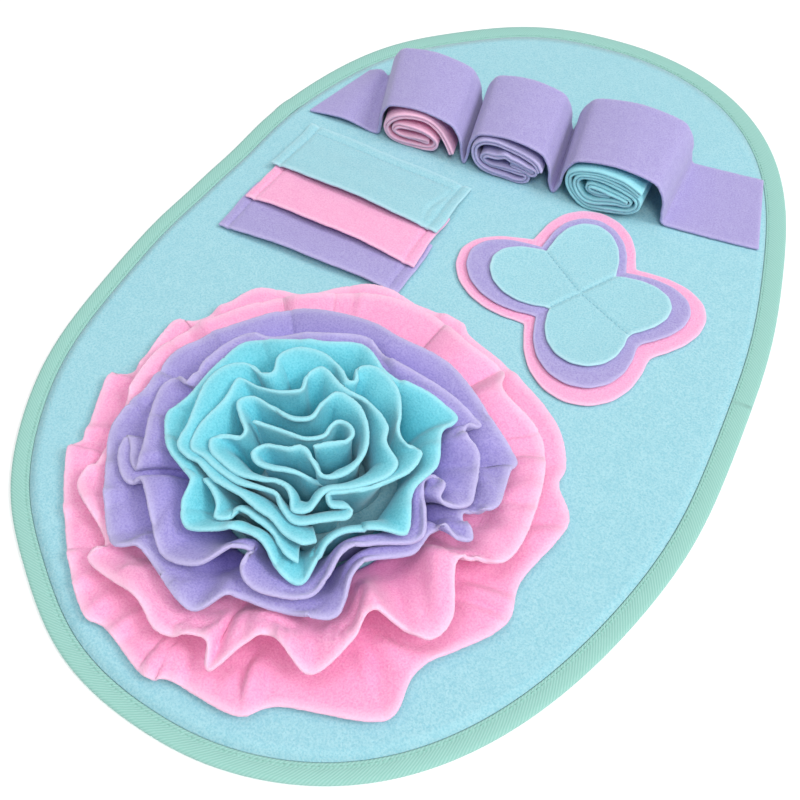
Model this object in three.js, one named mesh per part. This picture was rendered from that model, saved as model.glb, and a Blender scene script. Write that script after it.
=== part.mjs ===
// A snuffle mat: an oval fleece mat with a bound rim, on which are sewn a ruffled flower, three flap
// pockets, a strap with three loops that hold rolled strips, and a clover of three layers.
// Millimetres, +Z up. X runs across the mat along the strap, Y along its length towards the strap,
// and the origin is under the middle of the mat, on the surface that it lies on.

import * as THREE from 'three';
import { ParametricGeometry } from 'three/addons/geometries/ParametricGeometry.js';
import { mergeVertices } from 'three/addons/utils/BufferGeometryUtils.js';

const { degToRad, radToDeg, lerp, clamp, smoothstep } = THREE.MathUtils;

// Driving dimensions

const GAP = 0.3;
const FLEECE = 2.2;

const MAT = { halfWidth: 225, halfLength: 348, roundness: 2.42, thick: 3.2, steps: 72 };

// Where the rim strays from the oval: bearing and spread in degrees, push in millimetres.
const RIM_BULGES = [
  { bearing: -88, spread: 9, push: 2.4 },
  { bearing: -28, spread: 14, push: 2.6 },
  { bearing: 35, spread: 18, push: -4.8 },
  { bearing: 87, spread: 10, push: 2.4 },
  { bearing: 113, spread: 11, push: -8.8 },
  { bearing: 166, spread: 10, push: -4.4 },
  { bearing: -139, spread: 12, push: 4.4 },
  { bearing: -110, spread: 9, push: -6.6 },
];

const TAPE = { width: 14, thick: 0.8, crown: 0.6 };

// The frills of the flower are sewn about one middle. Each row of a frill is a turn of its free edge:
// its bearing in degrees and its distance from the middle. The edge stands at the height given, lower
// by the fall for each millimetre that it lies further out than the spread, and higher where a row says up.
// A ring that lies on the mat has its root flat and lifts only near its edge.
const FLOWER = { x: 0, y: -180, gather: 0.03 };
const PROFILE = { out: 1.3, up: 2, lie: 3 };
const RINGS = [
  {
    name: 'ruffle_pink_lower', colour: 0xf9bcdc, root: 104, height: 5.2, spread: 150, fall: 0, steps: 110,
    lies: true,
    folds: [
      { at: 30, from: 157 }, { at: 25, from: 151 }, { at: 16, from: 158, up: 2 }, { at: 357, from: 142 },
      { at: 347, from: 149, up: 2 }, { at: 325, from: 139 }, { at: 316, from: 157, up: 4 },
      { at: 293, from: 143 }, { at: 287, from: 151, up: 3 }, { at: 270, from: 146 },
      { at: 266, from: 151, up: 2 }, { at: 250, from: 147 }, { at: 246, from: 152, up: 2 },
      { at: 222, from: 148 }, { at: 201, from: 153, up: 2 }, { at: 198, from: 148 },
      { at: 179, from: 157, up: 2 }, { at: 176, from: 147 }, { at: 157, from: 161, up: 3 },
      { at: 153, from: 152 }, { at: 135, from: 162, up: 3 }, { at: 123, from: 149 },
      { at: 114, from: 155, up: 2 }, { at: 107, from: 160, up: 5 }, { at: 100, from: 159, up: 5 },
      { at: 93, from: 154, up: 1 }, { at: 79, from: 156, up: 2 }, { at: 76, from: 151 },
      { at: 62, from: 151 }, { at: 41, from: 159, up: 2 },
    ],
  },
  {
    name: 'ruffle_pink_upper', colour: 0xf9bcdc, root: 78, height: 16.6, spread: 125, fall: 0.28, steps: 120,
    folds: [
      { at: 27, from: 142 }, { at: 38, from: 145 }, { at: 52, from: 131 }, { at: 60, from: 144 },
      { at: 71, from: 138 }, { at: 86, from: 147, up: 2 }, { at: 99, from: 149, up: 4 },
      { at: 112, from: 145, up: 3 }, { at: 125, from: 140, up: 1 }, { at: 131, from: 146 },
      { at: 147, from: 138 }, { at: 160, from: 145 }, { at: 175, from: 135 }, { at: 207, from: 130 },
      { at: 213, from: 139 }, { at: 233, from: 126 }, { at: 235, from: 137 }, { at: 254, from: 126 },
      { at: 263, from: 131 }, { at: 275, from: 123 }, { at: 278, from: 136 }, { at: 290, from: 112 },
      { at: 301, from: 131 }, { at: 313, from: 117 }, { at: 319, from: 107 }, { at: 330, from: 132 },
      { at: 337, from: 130 }, { at: 349, from: 110 }, { at: 355, from: 114 }, { at: 353, from: 131 },
      { at: 360, from: 135 }, { at: 374, from: 137 },
    ],
  },
  {
    name: 'ruffle_purple_lower', colour: 0xb3a6e0, root: 70, height: 25, spread: 112, fall: 0.3, steps: 110,
    folds: [
      { at: 28, from: 125 }, { at: 40, from: 114 }, { at: 66, from: 108 }, { at: 86, from: 101 },
      { at: 99, from: 107 }, { at: 128, from: 123 }, { at: 138, from: 118 }, { at: 165, from: 128 },
      { at: 183, from: 118 }, { at: 194, from: 128 }, { at: 214, from: 121 }, { at: 236, from: 122 },
      { at: 242, from: 110 }, { at: 268, from: 114 }, { at: 277, from: 98 }, { at: 290, from: 99 },
      { at: 309, from: 106 }, { at: 317, from: 88 }, { at: 326, from: 82 }, { at: 341, from: 92 },
      { at: 350, from: 92 }, { at: 355, from: 109 }, { at: 361, from: 99 }, { at: 369, from: 113 },
      { at: 380, from: 117 },
    ],
  },
  {
    name: 'ruffle_purple_upper', colour: 0xb3a6e0, root: 62, height: 33, spread: 98, fall: 0.3, steps: 110,
    folds: [
      { at: 39, from: 104 }, { at: 52, from: 94 }, { at: 66, from: 82 }, { at: 80, from: 78 },
      { at: 96, from: 87 }, { at: 116, from: 83 }, { at: 135, from: 89 }, { at: 146, from: 101 },
      { at: 163, from: 95 }, { at: 177, from: 91 }, { at: 176, from: 103 }, { at: 182, from: 107 },
      { at: 200, from: 100 }, { at: 224, from: 96 }, { at: 250, from: 102 }, { at: 262, from: 94 },
      { at: 271, from: 76 }, { at: 278, from: 74 }, { at: 277, from: 86 }, { at: 283, from: 93 },
      { at: 300, from: 95 }, { at: 308, from: 87 }, { at: 317, from: 75 }, { at: 328, from: 75 },
      { at: 346, from: 91 }, { at: 356, from: 80 }, { at: 363, from: 72 }, { at: 369, from: 78 },
      { at: 363, from: 85 }, { at: 368, from: 94 }, { at: 390, from: 91 },
    ],
  },
  {
    name: 'ruffle_blue_outer', colour: 0x86d8e4, root: 54, height: 42, spread: 78, fall: 0.3, steps: 100,
    folds: [
      { at: 148, from: 91 }, { at: 130, from: 78 }, { at: 112, from: 73 }, { at: 95, from: 78 },
      { at: 72, from: 67 }, { at: 52, from: 82 }, { at: 41, from: 91 }, { at: 33, from: 79 },
      { at: 15, from: 77 }, { at: -1, from: 70 }, { at: -18, from: 83 }, { at: -26, from: 73 },
      { at: -40, from: 65 }, { at: -49, from: 68 }, { at: -54, from: 76 }, { at: -61, from: 88 },
      { at: -68, from: 84 }, { at: -79, from: 68 }, { at: -88, from: 66 }, { at: -111, from: 84 },
      { at: -121, from: 78 }, { at: -128, from: 69 }, { at: -135, from: 71 }, { at: -150, from: 81 },
      { at: -168, from: 89 }, { at: -175, from: 81 }, { at: -195, from: 83 },
    ],
  },
];

// The strips inside the rings: a long one coiled in three turns and joined from three lengths, a short one
// folded between it and the outer ring, and another folded in the very middle. Their roots are their edges smoothed out and drawn in
// towards the middle, tighter the further out they lie.
const COILS = [
  {
    colour: 0x86d8e4, height: 50, spread: 50, fall: 0.08, gather: 0.035, draw: 0.95, tighten: 0.0045,
    lengths: [
      { name: 'ruffle_blue_first', span: [0, 0.362], steps: 96 },
      { name: 'ruffle_blue_second', span: [0.365, 0.689], steps: 86 },
      { name: 'ruffle_blue_heart', span: [0.691, 1], steps: 84 },
    ],
    folds: [
      { at: -60, from: 67 }, { at: -77, from: 62 }, { at: -88, from: 54 }, { at: -102, from: 52 },
      { at: -122, from: 58 }, { at: -136, from: 63 }, { at: -140, from: 68 }, { at: -148, from: 74 },
      { at: -160, from: 70 }, { at: -185, from: 75 }, { at: -197, from: 74 }, { at: -206, from: 66 },
      { at: -209, from: 54 }, { at: -215, from: 51 }, { at: -223, from: 63 }, { at: -234, from: 67 },
      { at: -248, from: 62 }, { at: -264, from: 51 }, { at: -273, from: 45 }, { at: -277, from: 49 },
      { at: -272, from: 57 }, { at: -279, from: 64 }, { at: -298, from: 63 }, { at: -317, from: 56 },
      { at: -329, from: 53 }, { at: -338, from: 59 }, { at: -341, from: 67 }, { at: -352, from: 64 },
      { at: -372, from: 56 }, { at: -390, from: 46 }, { at: -400, from: 44 }, { at: -396, from: 53 },
      { at: -403, from: 56 }, { at: -425, from: 57 }, { at: -436, from: 48 }, { at: -442, from: 42 },
      { at: -456, from: 43 }, { at: -470, from: 48 }, { at: -490, from: 55 }, { at: -498, from: 59 },
      { at: -505, from: 66 }, { at: -519, from: 63 }, { at: -540, from: 56 }, { at: -556, from: 60 },
      { at: -561, from: 46 }, { at: -575, from: 34 }, { at: -593, from: 32 }, { at: -600, from: 44 },
      { at: -610, from: 50 }, { at: -634, from: 39 }, { at: -660, from: 42 }, { at: -684, from: 47 },
      { at: -698, from: 46 }, { at: -712, from: 56 }, { at: -722, from: 55 }, { at: -744, from: 45 },
      { at: -762, from: 40 }, { at: -777, from: 50 }, { at: -787, from: 50 }, { at: -791, from: 41 },
      { at: -797, from: 36 }, { at: -808, from: 35 }, { at: -818, from: 38 }, { at: -836, from: 45 },
      { at: -850, from: 50 }, { at: -862, from: 55 }, { at: -870, from: 54 }, { at: -871, from: 46 },
      { at: -869, from: 38 }, { at: -876, from: 35 }, { at: -888, from: 40 }, { at: -902, from: 48 },
      { at: -911, from: 43 }, { at: -914, from: 28 }, { at: -920, from: 12 }, { at: -978, from: 10 },
      { at: -984, from: 24 }, { at: -992, from: 34 }, { at: -1020, from: 36 }, { at: -1066, from: 36 },
      { at: -1100, from: 36 }, { at: -1120, from: 31 }, { at: -1128, from: 20 }, { at: -1136, from: 12 },
      { at: -1157, from: 10 }, { at: -1180, from: 14 }, { at: -1200, from: 18 }, { at: -1213, from: 25 },
      { at: -1209, from: 32 }, { at: -1196, from: 33 }, { at: -1180, from: 30 }, { at: -1164, from: 26 },
    ],
  },
  {
    name: 'ruffle_blue_side', colour: 0x86d8e4, height: 46, spread: 60, fall: 0.1, steps: 44,
    gather: 0.18, draw: 0.955, tighten: 0.0038,
    folds: [
      { at: -127, from: 64 }, { at: -118, from: 62 }, { at: -110, from: 65 }, { at: -105, from: 73 },
      { at: -98, from: 68 }, { at: -100, from: 60 }, { at: -94, from: 57 }, { at: -88, from: 59 },
      { at: -82, from: 62 }, { at: -76, from: 65 }, { at: -71, from: 70 }, { at: -67, from: 73 },
      { at: -63, from: 71 },
    ],
  },
  {
    name: 'ruffle_blue_core', colour: 0x86d8e4, height: 52, spread: 20, fall: 0, steps: 36,
    gather: 0.2, draw: 0.8, tighten: 0,
    folds: [
      { at: -167, from: 32 }, { at: -164, from: 20 }, { at: -150, from: 9 }, { at: -60, from: 4 },
      { at: 18, from: 11 }, { at: 46, from: 15 }, { at: 52, from: 20 }, { at: 40, from: 25 },
      { at: 27, from: 25 }, { at: 14, from: 18 },
    ],
  },
];

// The flap pockets, front one first: their front and back edges, left and right sides, the skew of
// their front edges and how far the free edge stands open in the middle.
const POCKETS = [
  { name: 'pocket_purple', colour: 0xb3a6e0, front: -23, back: 32, left: -178, right: -24, skew: 1, open: 4.6 },
  { name: 'pocket_pink', colour: 0xf9bcdc, front: 7, back: 68, left: -175, right: -26, skew: -7, open: 4.6 },
  { name: 'pocket_blue', colour: 0xa9deec, front: 46, back: 109, left: -178, right: -26, skew: -11, open: 4.6 },
];
const POCKET_HINGE = 44;
const POCKET_STEP = { apart: 0.5, past: 3, run: 10 };

// The strap's edges along Y at its two ends, and the loops along X at its front and back edges.
const STRAP = { colour: 0xb3a6e0, frontLeft: 129, frontRight: 143, backLeft: 203, backRight: 221 };
const STRAP_ENDS = { leftFront: -190, leftBack: -172, rightFront: 190, rightBack: 173 };
const LOOPS = [
  { front: [-122, -48], back: [-149, -66], rise: 36 },
  { front: [-43, 27], back: [-61, 14], rise: 36 },
  { front: [35, 116], back: [20, 114], rise: 40 },
];
// Each roll lies in the loop of its row: its sides at its front and back ends, and its height.
const ROLLS = [
  { name: 'roll_pink', colour: 0xf9bcdc, front: [-117, -53], back: [-144, -71], high: 33 },
  { name: 'roll_purple', colour: 0xb3a6e0, front: [-38, 22], back: [-56, 9], high: 33 },
  { name: 'roll_blue', colour: 0x86d8e4, front: [40, 101], back: [25, 99], high: 36 },
];
const ROLL_ENDS = { front: 127, back: 208 };

const CLOVER = { x: 90, y: 37, axis: 58.8, steps: 72, swell: 1.4 };
// The notches and lobe tips in turn: their bearing from the axis, and how far out they are on each layer.
const CLOVER_TURNS = [
  { at: 0, pink: 52, purple: 42, blue: 32 }, { at: 45, pink: 89.5, purple: 77.5, blue: 69 },
  { at: 85, pink: 64.5, purple: 53.5, blue: 47 }, { at: 120, pink: 94, purple: 86.5, blue: 69 },
  { at: 180, pink: 49, purple: 39.5, blue: 28 }, { at: 235, pink: 96.5, purple: 84.5, blue: 68 },
  { at: 275, pink: 70, purple: 58.5, blue: 49.5 }, { at: 315, pink: 88, purple: 76.5, blue: 63 },
];
const CLOVER_LAYERS = [
  { name: 'clover_pink', colour: 0xf9bcdc, layer: 'pink', lift: 1.0 },
  { name: 'clover_purple', colour: 0xb3a6e0, layer: 'purple', lift: 1.8 },
  { name: 'clover_blue', colour: 0xa9deec, layer: 'blue', lift: 2.4 },
];
const CLOVER_SHEET = 1.6;
const CLOVER_APART = 0.55;

// Helpers

const MAT_TOP = MAT.thick;
const SEAT = MAT_TOP + GAP;
const STRAP_LOW = SEAT + FLEECE / 2 + 0.1;

const wrapDegrees = (angle) => THREE.MathUtils.euclideanModulo(angle + 180, 360) - 180;
const bump = (distance, width) => Math.exp(-((distance / width) ** 2));

/** A closed solid from a surface over two parameters: seams are merged and empty triangles dropped. */
function closedSolid(pointAt, slices, stacks) {
  const surface = new ParametricGeometry(pointAt, slices, stacks);
  surface.deleteAttribute('uv');
  surface.deleteAttribute('normal');
  const geometry = mergeVertices(surface, 1e-4);
  const place = geometry.attributes.position;
  const corner = (i) => new THREE.Vector3().fromBufferAttribute(place, i);
  const faces = [];
  let volume = 0;
  for (let i = 0; i < geometry.index.count; i += 3) {
    const [a, b, c] = [0, 1, 2].map((k) => geometry.index.getX(i + k));
    if (a === b || b === c || c === a) {
      continue;
    }
    faces.push([a, b, c]);
    volume += corner(a).dot(corner(b).cross(corner(c)));
  }
  geometry.setIndex(faces.flatMap(([a, b, c]) => (volume > 0 ? [a, b, c] : [a, c, b])));
  geometry.computeVertexNormals();
  return geometry;
}

/** The unit normal of a sheet's middle surface. */
function normalOf(middle, u, w) {
  const step = 1e-4;
  const along = middle(u + step, w).sub(middle(u - step, w));
  const across = middle(u, Math.min(1, w + step)).sub(middle(u, Math.max(0, w - step)));
  return along.cross(across).normalize();
}

/**
 * A sheet of even thickness about a middle surface. `across` lists where its rows lie from its first
 * edge (0) to its second (1). A ring closes on itself; a strip comes to a thin end at u = 0 and u = 1.
 */
function sheetSolid(middle, { steps, across, thick, ring = false, endInset = 0.002 }) {
  const rows = across.length;
  const stacks = 2 * rows;
  const pointAt = (u, v, target) => {
    const station = Math.round(u * steps);
    const row = Math.round(v * stacks) % stacks;
    const top = row < rows;
    const w = across[top ? row : stacks - 1 - row];
    const atEnd = !ring && (station === 0 || station === steps);
    let along = (station % steps) / steps;
    if (!ring) {
      along = atEnd ? station / steps : lerp(endInset, 1 - endInset, (station - 1) / (steps - 2));
    }
    target.copy(middle(along, w));
    if (!atEnd) {
      target.addScaledVector(normalOf(middle, along, w), (top ? 0.5 : -0.5) * thick);
    }
  };
  return closedSolid(pointAt, steps, stacks);
}

function sewn(name, colour, geometry) {
  const material = new THREE.MeshStandardMaterial({ color: colour, roughness: 0.95, metalness: 0 });
  const mesh = new THREE.Mesh(geometry, material);
  mesh.name = name;
  return mesh;
}

// The mat and its binding

/** The rim of the mat at a fraction of the way round, moved inwards by an inset. */
function rimPoint(turn, inset, z) {
  const at = (t) => {
    const a = t * 2 * Math.PI;
    const bearing = Math.atan2(MAT.halfLength * Math.sin(a), MAT.halfWidth * Math.cos(a));
    const [c, s] = [Math.abs(Math.cos(bearing)), Math.abs(Math.sin(bearing))];
    const n = MAT.roundness;
    let radius = ((c / MAT.halfWidth) ** n + (s / MAT.halfLength) ** n) ** (-1 / n);
    for (const { bearing: middle, spread, push } of RIM_BULGES) {
      radius += push * bump(wrapDegrees(radToDeg(bearing) - middle), spread);
    }
    return new THREE.Vector2(Math.cos(bearing), Math.sin(bearing)).multiplyScalar(radius);
  };
  const here = at(turn);
  const along = at(turn + 1e-4).sub(at(turn - 1e-4)).normalize();
  return new THREE.Vector3(here.x - inset * along.y, here.y + inset * along.x, z);
}

function matPanel() {
  const rimInset = TAPE.width + GAP;
  const edge = TAPE.thick + 2 * GAP;
  const section = [
    { inset: rimInset, z: 0 },
    { inset: rimInset, z: TAPE.thick + GAP },
    { inset: edge, z: TAPE.thick + GAP },
    { inset: edge, z: MAT_TOP - TAPE.thick - GAP },
    { inset: rimInset, z: MAT_TOP - TAPE.thick - GAP },
    { inset: rimInset, z: MAT_TOP },
  ];
  const stacks = section.length + 1;
  const pointAt = (u, v, target) => {
    const row = Math.round(v * stacks);
    if (row === 0 || row === stacks) {
      target.set(0, 0, row === 0 ? 0 : MAT_TOP);
      return;
    }
    const { inset, z } = section[row - 1];
    target.copy(rimPoint(u % 1, inset, z));
  };
  return sewn('mat_panel', 0xa9deec, closedSolid(pointAt, MAT.steps, stacks));
}

function binding() {
  const { width, thick, crown } = TAPE;
  const top = MAT_TOP + 0.2;
  const section = [
    { inset: 0, z: 0.5 * top },
    { inset: 0.7, z: top + 0.4 * crown },
    { inset: 0.4 * width, z: top + crown },
    { inset: width, z: top },
    { inset: width, z: top - thick },
    { inset: thick + GAP, z: top - thick },
    { inset: thick + GAP, z: thick },
    { inset: width, z: thick },
    { inset: width, z: 0 },
    { inset: 0.7, z: 0 },
  ];
  const pointAt = (u, v, target) => {
    const { inset, z } = section[Math.round(v * section.length) % section.length];
    target.copy(rimPoint(u % 1, inset, z));
  };
  return sewn('binding', 0xa5dfd3, closedSolid(pointAt, MAT.steps, section.length));
}

// The ruffled flower

/** The free edge of a frill, through the turns of its rows. */
function freeEdge({ folds, height, spread, fall }, closed) {
  const turns = folds.map(({ at, from, up = 0 }) => {
    const angle = degToRad(at);
    const z = height + up - fall * (from - spread);
    return new THREE.Vector3(from * Math.cos(angle), from * Math.sin(angle), z);
  });
  const edge = new THREE.CatmullRomCurve3(turns, closed, 'centripetal');
  edge.arcLengthDivisions = 16 * turns.length;
  return edge;
}

/** The free edge smoothed over a share of its length to each side, as the gathering thread draws it in. */
function gathered(edge, u, reach, closed) {
  const middle = new THREE.Vector3();
  const side = 6;
  for (let k = -side; k <= side; k += 1) {
    const along = u + (reach * k) / side;
    const weight = 1 + Math.cos((Math.PI * k) / (side + 1));
    const place = edge.getPointAt(closed ? THREE.MathUtils.euclideanModulo(along, 1) : clamp(along, 0, 1));
    middle.addScaledVector(place, weight);
  }
  return middle.multiplyScalar(1 / (2 * side + 2));
}

/** A frill stands up from its root and opens outwards to its free edge. */
function frill(row, closed) {
  const edge = freeEdge(row, closed);
  const [start, end] = row.span ?? [0, 1];
  const middle = (u, share) => {
    const along = closed ? THREE.MathUtils.euclideanModulo(u, 1) : lerp(start, end, clamp(u, 0, 1));
    const rim = edge.getPointAt(along);
    const root = gathered(edge, along, row.gather ?? FLOWER.gather, closed).setZ(0);
    if (closed) {
      root.setLength(row.root);
    } else {
      root.multiplyScalar(row.draw - row.tighten * root.length());
    }
    const out = share ** PROFILE.out;
    const up = row.lies ? share ** PROFILE.lie : 1 - (1 - share) ** PROFILE.up;
    const seat = row.lies ? SEAT + FLEECE / 2 + 0.25 : SEAT + 0.5;
    return new THREE.Vector3(
      FLOWER.x + lerp(root.x, rim.x, out),
      FLOWER.y + lerp(root.y, rim.y, out),
      lerp(seat, rim.z, up),
    );
  };
  const options = { steps: row.steps, across: [0, 0.4, 1], thick: FLEECE, ring: closed };
  return sewn(row.name, row.colour, sheetSolid(middle, options));
}

// The pockets

/** How far a flap arches up off what it lies on, at a share of its width and a place along Y. */
function pocketArch({ front, skew, open }, u, y) {
  const behind = y - front - skew * (u - 0.5);
  const across = Math.sin(Math.PI * clamp(u, 0, 1)) ** 0.7;
  return open * across * (1 - smoothstep(behind, 0, POCKET_HINGE));
}

/** The height of a flap's middle: on the mat, or on the flap beneath it as far as that one reaches. */
function pocketHeight(index, u, y) {
  const flat = SEAT + FLEECE / 2;
  const arch = pocketArch(POCKETS[index], u, y);
  if (index === 0) {
    return flat + arch;
  }
  const { back, skew } = POCKETS[index - 1];
  const stepAt = back + skew * (u - 0.5) + POCKET_STEP.past;
  const onFlap = pocketHeight(index - 1, u, y) + FLEECE + POCKET_STEP.apart;
  return lerp(onFlap, flat, smoothstep(y, stepAt, stepAt + POCKET_STEP.run)) + arch;
}

function pocket(index) {
  const flap = POCKETS[index];
  const middle = (u, share) => {
    const y = lerp(flap.front, flap.back, share) + flap.skew * (u - 0.5);
    return new THREE.Vector3(lerp(flap.left, flap.right, u), y, pocketHeight(index, u, y));
  };
  const across = [0, 0.15, 0.32, 0.48, 0.61, 0.8, 1];
  const geometry = sheetSolid(middle, { steps: 16, across, thick: FLEECE, endInset: 0.006 });
  return sewn(flap.name, flap.colour, geometry);
}

// The strap and the rolls in its loops

/** A loop's arch above its two seams: 0 at its left foot, 1 at its right foot. */
function archPoint(left, right, rise, share) {
  const angle = Math.PI * share;
  const flat = 2 / 3.1;
  const across = Math.sign(Math.cos(angle)) * Math.abs(Math.cos(angle)) ** flat;
  const up = Math.abs(Math.sin(angle)) ** flat;
  return new THREE.Vector2((left + right) / 2 - ((right - left) / 2) * across, rise * up);
}

/** The strap's route seen from the front: along X and up, at its front edge (0) or back edge (1). */
function strapRoute(side) {
  const pick = (pair) => (side === 0 ? pair.front : pair.back);
  const low = STRAP_LOW;
  const ends = side === 0
    ? [STRAP_ENDS.leftFront, STRAP_ENDS.rightFront]
    : [STRAP_ENDS.leftBack, STRAP_ENDS.rightBack];
  const points = [new THREE.Vector2(ends[0], low), new THREE.Vector2(lerp(ends[0], pick(LOOPS[0])[0], 0.5), low)];
  LOOPS.forEach((loop, k) => {
    const [left, right] = pick(loop);
    if (k === 0) {
      points.push(new THREE.Vector2(left - 5, low));
    }
    for (const share of [0.03, 0.1, 0.2, 0.32, 0.5, 0.68, 0.8, 0.9, 0.97]) {
      const { x, y } = archPoint(left, right, loop.rise, share);
      points.push(new THREE.Vector2(x, low + y));
    }
    const next = LOOPS[k + 1];
    const after = next ? (right + pick(next)[0]) / 2 : right + 5;
    points.push(new THREE.Vector2(after, low));
  });
  points.push(new THREE.Vector2(lerp(pick(LOOPS[2])[1], ends[1], 0.5), low));
  points.push(new THREE.Vector2(ends[1], low));
  return new THREE.SplineCurve(points);
}

function loopStrap() {
  const routes = [strapRoute(0), strapRoute(1)];
  const middle = (u, share) => {
    const t = clamp(u, 0, 1);
    const [front, back] = routes.map((route) => route.getPoint(t));
    const acrossMat = (front.x - STRAP_ENDS.leftFront) / (STRAP_ENDS.rightFront - STRAP_ENDS.leftFront);
    const y0 = lerp(STRAP.frontLeft, STRAP.frontRight, acrossMat ** 4);
    const y1 = lerp(STRAP.backLeft, STRAP.backRight, acrossMat ** 2);
    const z = Math.max(STRAP_LOW, lerp(front.y, back.y, share));
    return new THREE.Vector3(lerp(front.x, back.x, share), lerp(y0, y1, share), z);
  };
  const geometry = sheetSolid(middle, { steps: 120, across: [0, 1], thick: FLEECE });
  return sewn('loop_strap', STRAP.colour, geometry);
}

/** A roll is an oval of wound cloth, with flat ends. */
function roll({ name, colour, front, back, high }) {
  const stations = [0, 0, 0.5, 1, 1];
  const last = stations.length - 1;
  const around = 28;
  const pointAt = (u, v, target) => {
    const station = Math.round(u * last);
    const depth = stations[station];
    const [left, right] = [lerp(front[0], back[0], depth), lerp(front[1], back[1], depth)];
    const angle = 2 * Math.PI * (Math.round(v * around) % around) / around;
    const size = station === 0 || station === last ? 0 : 1;
    const x = (left + right) / 2 + size * ((right - left) / 2) * Math.cos(angle);
    const z = SEAT + (high / 2) * (1 + size * Math.sin(angle));
    target.set(x, lerp(ROLL_ENDS.front, ROLL_ENDS.back, depth), z);
  };
  return sewn(name, colour, closedSolid(pointAt, last, around));
}

// The clover

/** The clover's outline: four petals that swell from one notch to the tip and narrow to the next notch. */
function cloverRadius(angle, layer) {
  const last = CLOVER_TURNS.findLastIndex((turn) => turn.at <= angle + 1e-6);
  const before = CLOVER_TURNS[last];
  const after = CLOVER_TURNS[(last + 1) % CLOVER_TURNS.length];
  const share = (angle - before.at) / (THREE.MathUtils.euclideanModulo(after.at - before.at, 360));
  const [notch, tip] = last % 2 === 0 ? [before, after] : [after, before];
  const nearTip = last % 2 === 0 ? share : 1 - share;
  return lerp(notch[layer], tip[layer], Math.sin((Math.PI / 2) * Math.max(0, nearTip)) ** CLOVER.swell);
}

function clover(layer) {
  const { name, colour, layer: cut, lift } = CLOVER_LAYERS[layer];
  const floor = SEAT + layer * (CLOVER_SHEET + CLOVER_APART);
  const rings = [0, 0.5, 1];
  const stacks = 2 * rings.length - 1;
  const pointAt = (u, v, target) => {
    const row = Math.round(v * stacks);
    const top = row >= rings.length;
    const share = rings[top ? stacks - row : row];
    const turn = 360 * (u % 1);
    const radius = share * cloverRadius(turn, cut);
    const angle = degToRad(turn + CLOVER.axis);
    const rise = lift * share * smoothstep(radius, 30, 80) + (top ? CLOVER_SHEET : 0);
    target.set(CLOVER.x + radius * Math.cos(angle), CLOVER.y + radius * Math.sin(angle), floor + rise);
  };
  return sewn(name, colour, closedSolid(pointAt, CLOVER.steps, stacks));
}

// The whole mat

const mat = new THREE.Group();
mat.add(matPanel(), binding());
mat.add(...RINGS.map((row) => frill(row, true)));
for (const coil of COILS) {
  const lengths = coil.lengths ?? [coil];
  mat.add(...lengths.map((length) => frill({ ...coil, ...length }, false)));
}
mat.add(...POCKETS.map((row, index) => pocket(index)));
mat.add(loopStrap(), ...ROLLS.map(roll));
mat.add(...CLOVER_LAYERS.map((row, layer) => clover(layer)));

export default mat;
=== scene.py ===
# %% [markdown]
# # A snuffle mat
# The real thing is an oval fleece mat that lies on the floor. A dog noses dry treats out of its ruffled
# flower, its flap pockets and the rolled strips in its strap. The solid model gives every piece its size and
# place, and this lesson lays soft cloth on it. We load that model first.

import math

import bmesh
import bpy
import numpy as np
from mathutils import Matrix, Vector


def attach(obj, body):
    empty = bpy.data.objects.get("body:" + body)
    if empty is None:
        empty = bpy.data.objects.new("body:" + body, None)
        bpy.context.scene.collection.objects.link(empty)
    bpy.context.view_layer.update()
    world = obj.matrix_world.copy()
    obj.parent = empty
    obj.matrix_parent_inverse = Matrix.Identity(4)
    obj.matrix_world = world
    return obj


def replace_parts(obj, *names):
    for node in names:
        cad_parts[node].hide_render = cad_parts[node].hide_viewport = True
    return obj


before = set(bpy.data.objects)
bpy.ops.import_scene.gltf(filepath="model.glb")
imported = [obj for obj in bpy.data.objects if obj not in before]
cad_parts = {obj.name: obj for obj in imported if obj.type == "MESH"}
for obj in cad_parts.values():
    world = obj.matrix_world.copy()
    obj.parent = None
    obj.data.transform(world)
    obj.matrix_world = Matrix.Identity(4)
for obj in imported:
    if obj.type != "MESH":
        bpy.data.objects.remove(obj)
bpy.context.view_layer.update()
MM = 0.001
print("solid model:", len(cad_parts), "nodes")

# %% [markdown]
# ## Camera
# The mat was photographed from above one side, so the camera stands over its front right edge and looks
# down on the flower. Its focal length was found in pixels, and the width of the sensor turns that into the
# millimetres that Blender asks for.

# %% Place the camera
EYE = Vector((187.1, -417.3, 489.6)) * MM
AIM = Vector((18.6, -100.1, 0.0)) * MM
FOCUS_PX = 923
FRAME_PX = 800
SENSOR_MM = 36


def put(name, data):
    """A new object of the scene that holds a camera, a lamp or a mesh."""
    thing = bpy.data.objects.new(name, data)
    bpy.context.scene.collection.objects.link(thing)
    return thing


def aim(thing, place, target):
    """Stands a camera or a lamp at a place and turns it to its target."""
    thing.location = place
    thing.rotation_euler = (Vector(target) - Vector(place)).to_track_quat("-Z", "Y").to_euler()


camera_data = bpy.data.cameras.new("camera")
camera_data.sensor_width = SENSOR_MM
camera_data.lens = SENSOR_MM * FOCUS_PX / FRAME_PX
camera_data.clip_start = 0.01
camera = put("camera", camera_data)
aim(camera, EYE, AIM)
bpy.context.scene.camera = camera
print("lens", round(camera_data.lens, 2), "mm")

# %% [markdown]
# ## Light
# Three softboxes light the mat: a key at the right, a wide one overhead and a fill near the camera, in a
# pale room. Together they give the gentle shade in the folds that fleece needs. A small hard lamp would
# draw black lines in every crease.

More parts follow.
